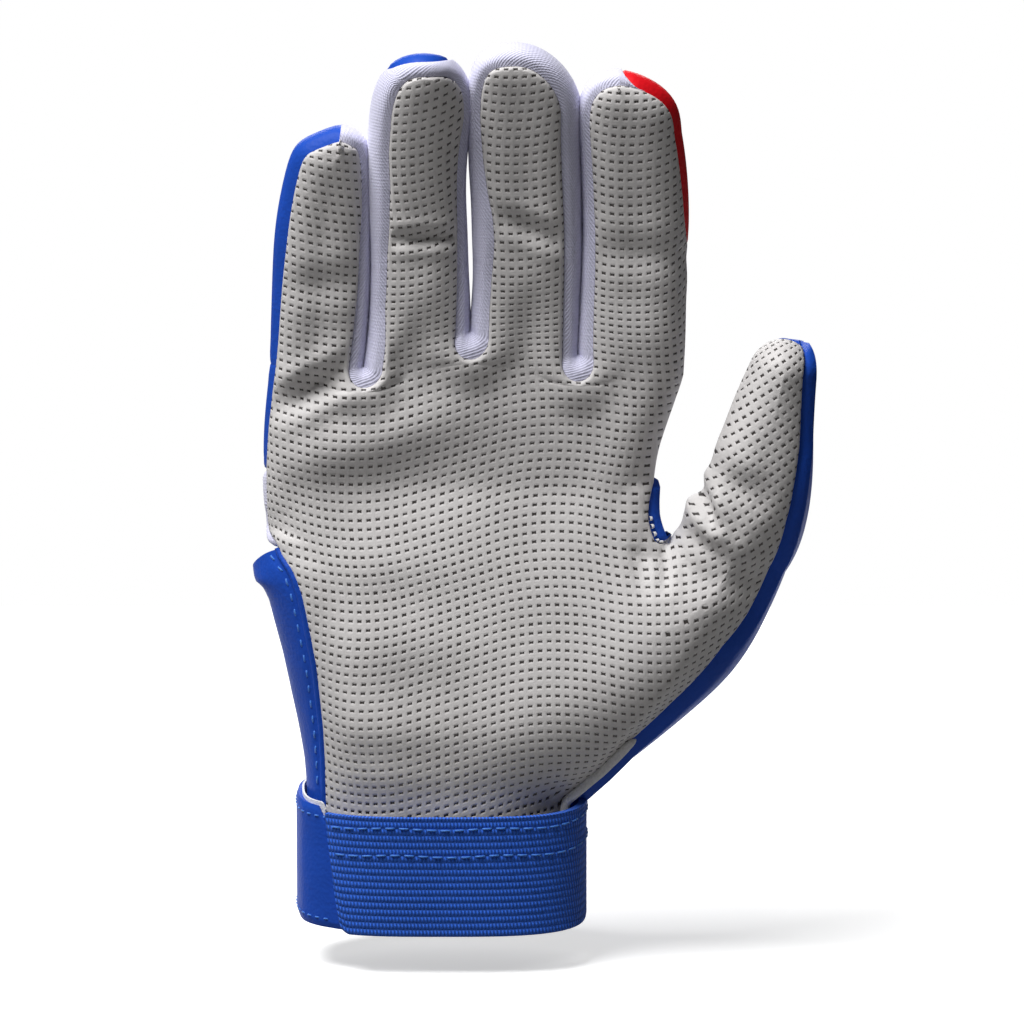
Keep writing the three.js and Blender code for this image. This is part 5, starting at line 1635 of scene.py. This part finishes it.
def stage_material():
    """Painted studio floor: near white, and for the camera so bright that only the shadow shows on it."""
    made, tree, shader = start_material("white studio floor", Roughness=0.9)
    path = add(tree, "ShaderNodeLightPath").outputs
    seen = maths(tree, "MAXIMUM", path["Is Camera Ray"], path["Is Glossy Ray"])
    tree.links.new(shades(tree, seen, (1, 1, 1), FLOOR_LIT, FLOOR_SEEN), shader.inputs["Base Color"])
    shader.inputs["Emission Color"].default_value = (1, 1, 1, 1)
    tree.links.new(maths(tree, "MULTIPLY", seen, FLOOR_GLOW), shader.inputs["Emission Strength"])
    return made


def add_lamp(name, place, size, power):
    data = bpy.data.lights.new(name, "AREA")
    data.shape, data.size, data.energy = "DISK", size, power
    lamp = new_object(name, data)
    lamp.location = place
    way = Vector(LAMP_AIM) - Vector(place)
    lamp.rotation_mode = "QUATERNION"
    lamp.rotation_quaternion = way.to_track_quat("-Z", "Y")


class GLOVE_OT_stage(bpy.types.Operator):
    """Floor, soft lamps, white surroundings and the camera"""
    bl_idname = "glove.stage"
    bl_label = "Stage"

    def execute(self, context):
        drop = -context.scene.glove_sizes.floor_gap
        mesh = bpy.data.meshes.new("floor")
        corners = [(FLOOR_LEFT, FLOOR_FRONT, drop), (FLOOR_RIGHT, FLOOR_FRONT, drop),
                   (FLOOR_RIGHT, FLOOR_REAR, drop), (FLOOR_LEFT, FLOOR_REAR, drop)]
        mesh.from_pydata(corners, [], [(0, 1, 2, 3)])
        floor = new_object("floor", mesh)
        floor.data.materials.append(stage_material())
        for lamp in LAMPS:
            add_lamp(*lamp)
        self.surroundings(context)
        elevation = math.radians(CAMERA_ELEVATION)
        data = bpy.data.cameras.new("camera")
        data.sensor_width = SENSOR_WIDTH
        data.lens = SENSOR_WIDTH * CAMERA_DISTANCE / PICTURE_WIDTH
        data.clip_start, data.clip_end = 0.05, 50
        camera = new_object("camera", data)
        away = Vector((0, -math.cos(elevation), math.sin(elevation)))
        camera.location = Vector(CAMERA_AIM) * MM + away * CAMERA_DISTANCE * MM
        camera.rotation_mode = "QUATERNION"
        camera.rotation_quaternion = (-away).to_track_quat("-Z", "Y")
        context.scene.camera = camera
        context.scene.view_settings.view_transform = "Standard"
        return {"FINISHED"}

    def surroundings(self, context):
        world = bpy.data.worlds.new("studio")
        world.use_nodes = True
        tree = world.node_tree
        lit = tree.nodes["Background"]
        lit.inputs["Color"].default_value = (1, 1, 1, 1)
        path = add(tree, "ShaderNodeLightPath").outputs
        seen = maths(tree, "MAXIMUM", path["Is Camera Ray"], path["Is Transmission Ray"])
        tree.links.new(ranged(tree, seen, 0, 1, WORLD_STRENGTH, 1.0), lit.inputs["Strength"])
        context.scene.world = world


PIECE_OPERATORS = (GLOVE_OT_palm, GLOVE_OT_knit, GLOVE_OT_finger_backs, GLOVE_OT_back_panels, GLOVE_OT_vent,
                   GLOVE_OT_cuff, GLOVE_OT_binding, GLOVE_OT_thread, GLOVE_OT_stage)


class GLOVE_PT_panel(bpy.types.Panel):
    """Sidebar list of the glove's pieces, colours and sizes"""
    bl_idname = "GLOVE_PT_panel"
    bl_label = "Batting Glove"
    bl_space_type = "VIEW_3D"
    bl_region_type = "UI"
    bl_category = "Glove"

    def draw(self, context):
        for operator in PIECE_OPERATORS:
            self.layout.operator(operator.bl_idname)
        for group in (context.scene.glove_colours, context.scene.glove_sizes):
            for key in group.__annotations__:
                self.layout.prop(group, key)


CLASSES = (GLOVE_PG_colours, GLOVE_PG_sizes, *PIECE_OPERATORS, GLOVE_PT_panel)


def register():
    for made in CLASSES:
        bpy.utils.register_class(made)
    bpy.types.Scene.glove_colours = PointerProperty(type=GLOVE_PG_colours)
    bpy.types.Scene.glove_sizes = PointerProperty(type=GLOVE_PG_sizes)


def unregister():
    del bpy.types.Scene.glove_sizes, bpy.types.Scene.glove_colours
    for made in reversed(CLASSES):
        bpy.utils.unregister_class(made)


def main():
    register()
    for operator in PIECE_OPERATORS:
        group, name = operator.bl_idname.split(".")
        getattr(getattr(bpy.ops, group), name)()


if __name__ == "__main__":
    main()
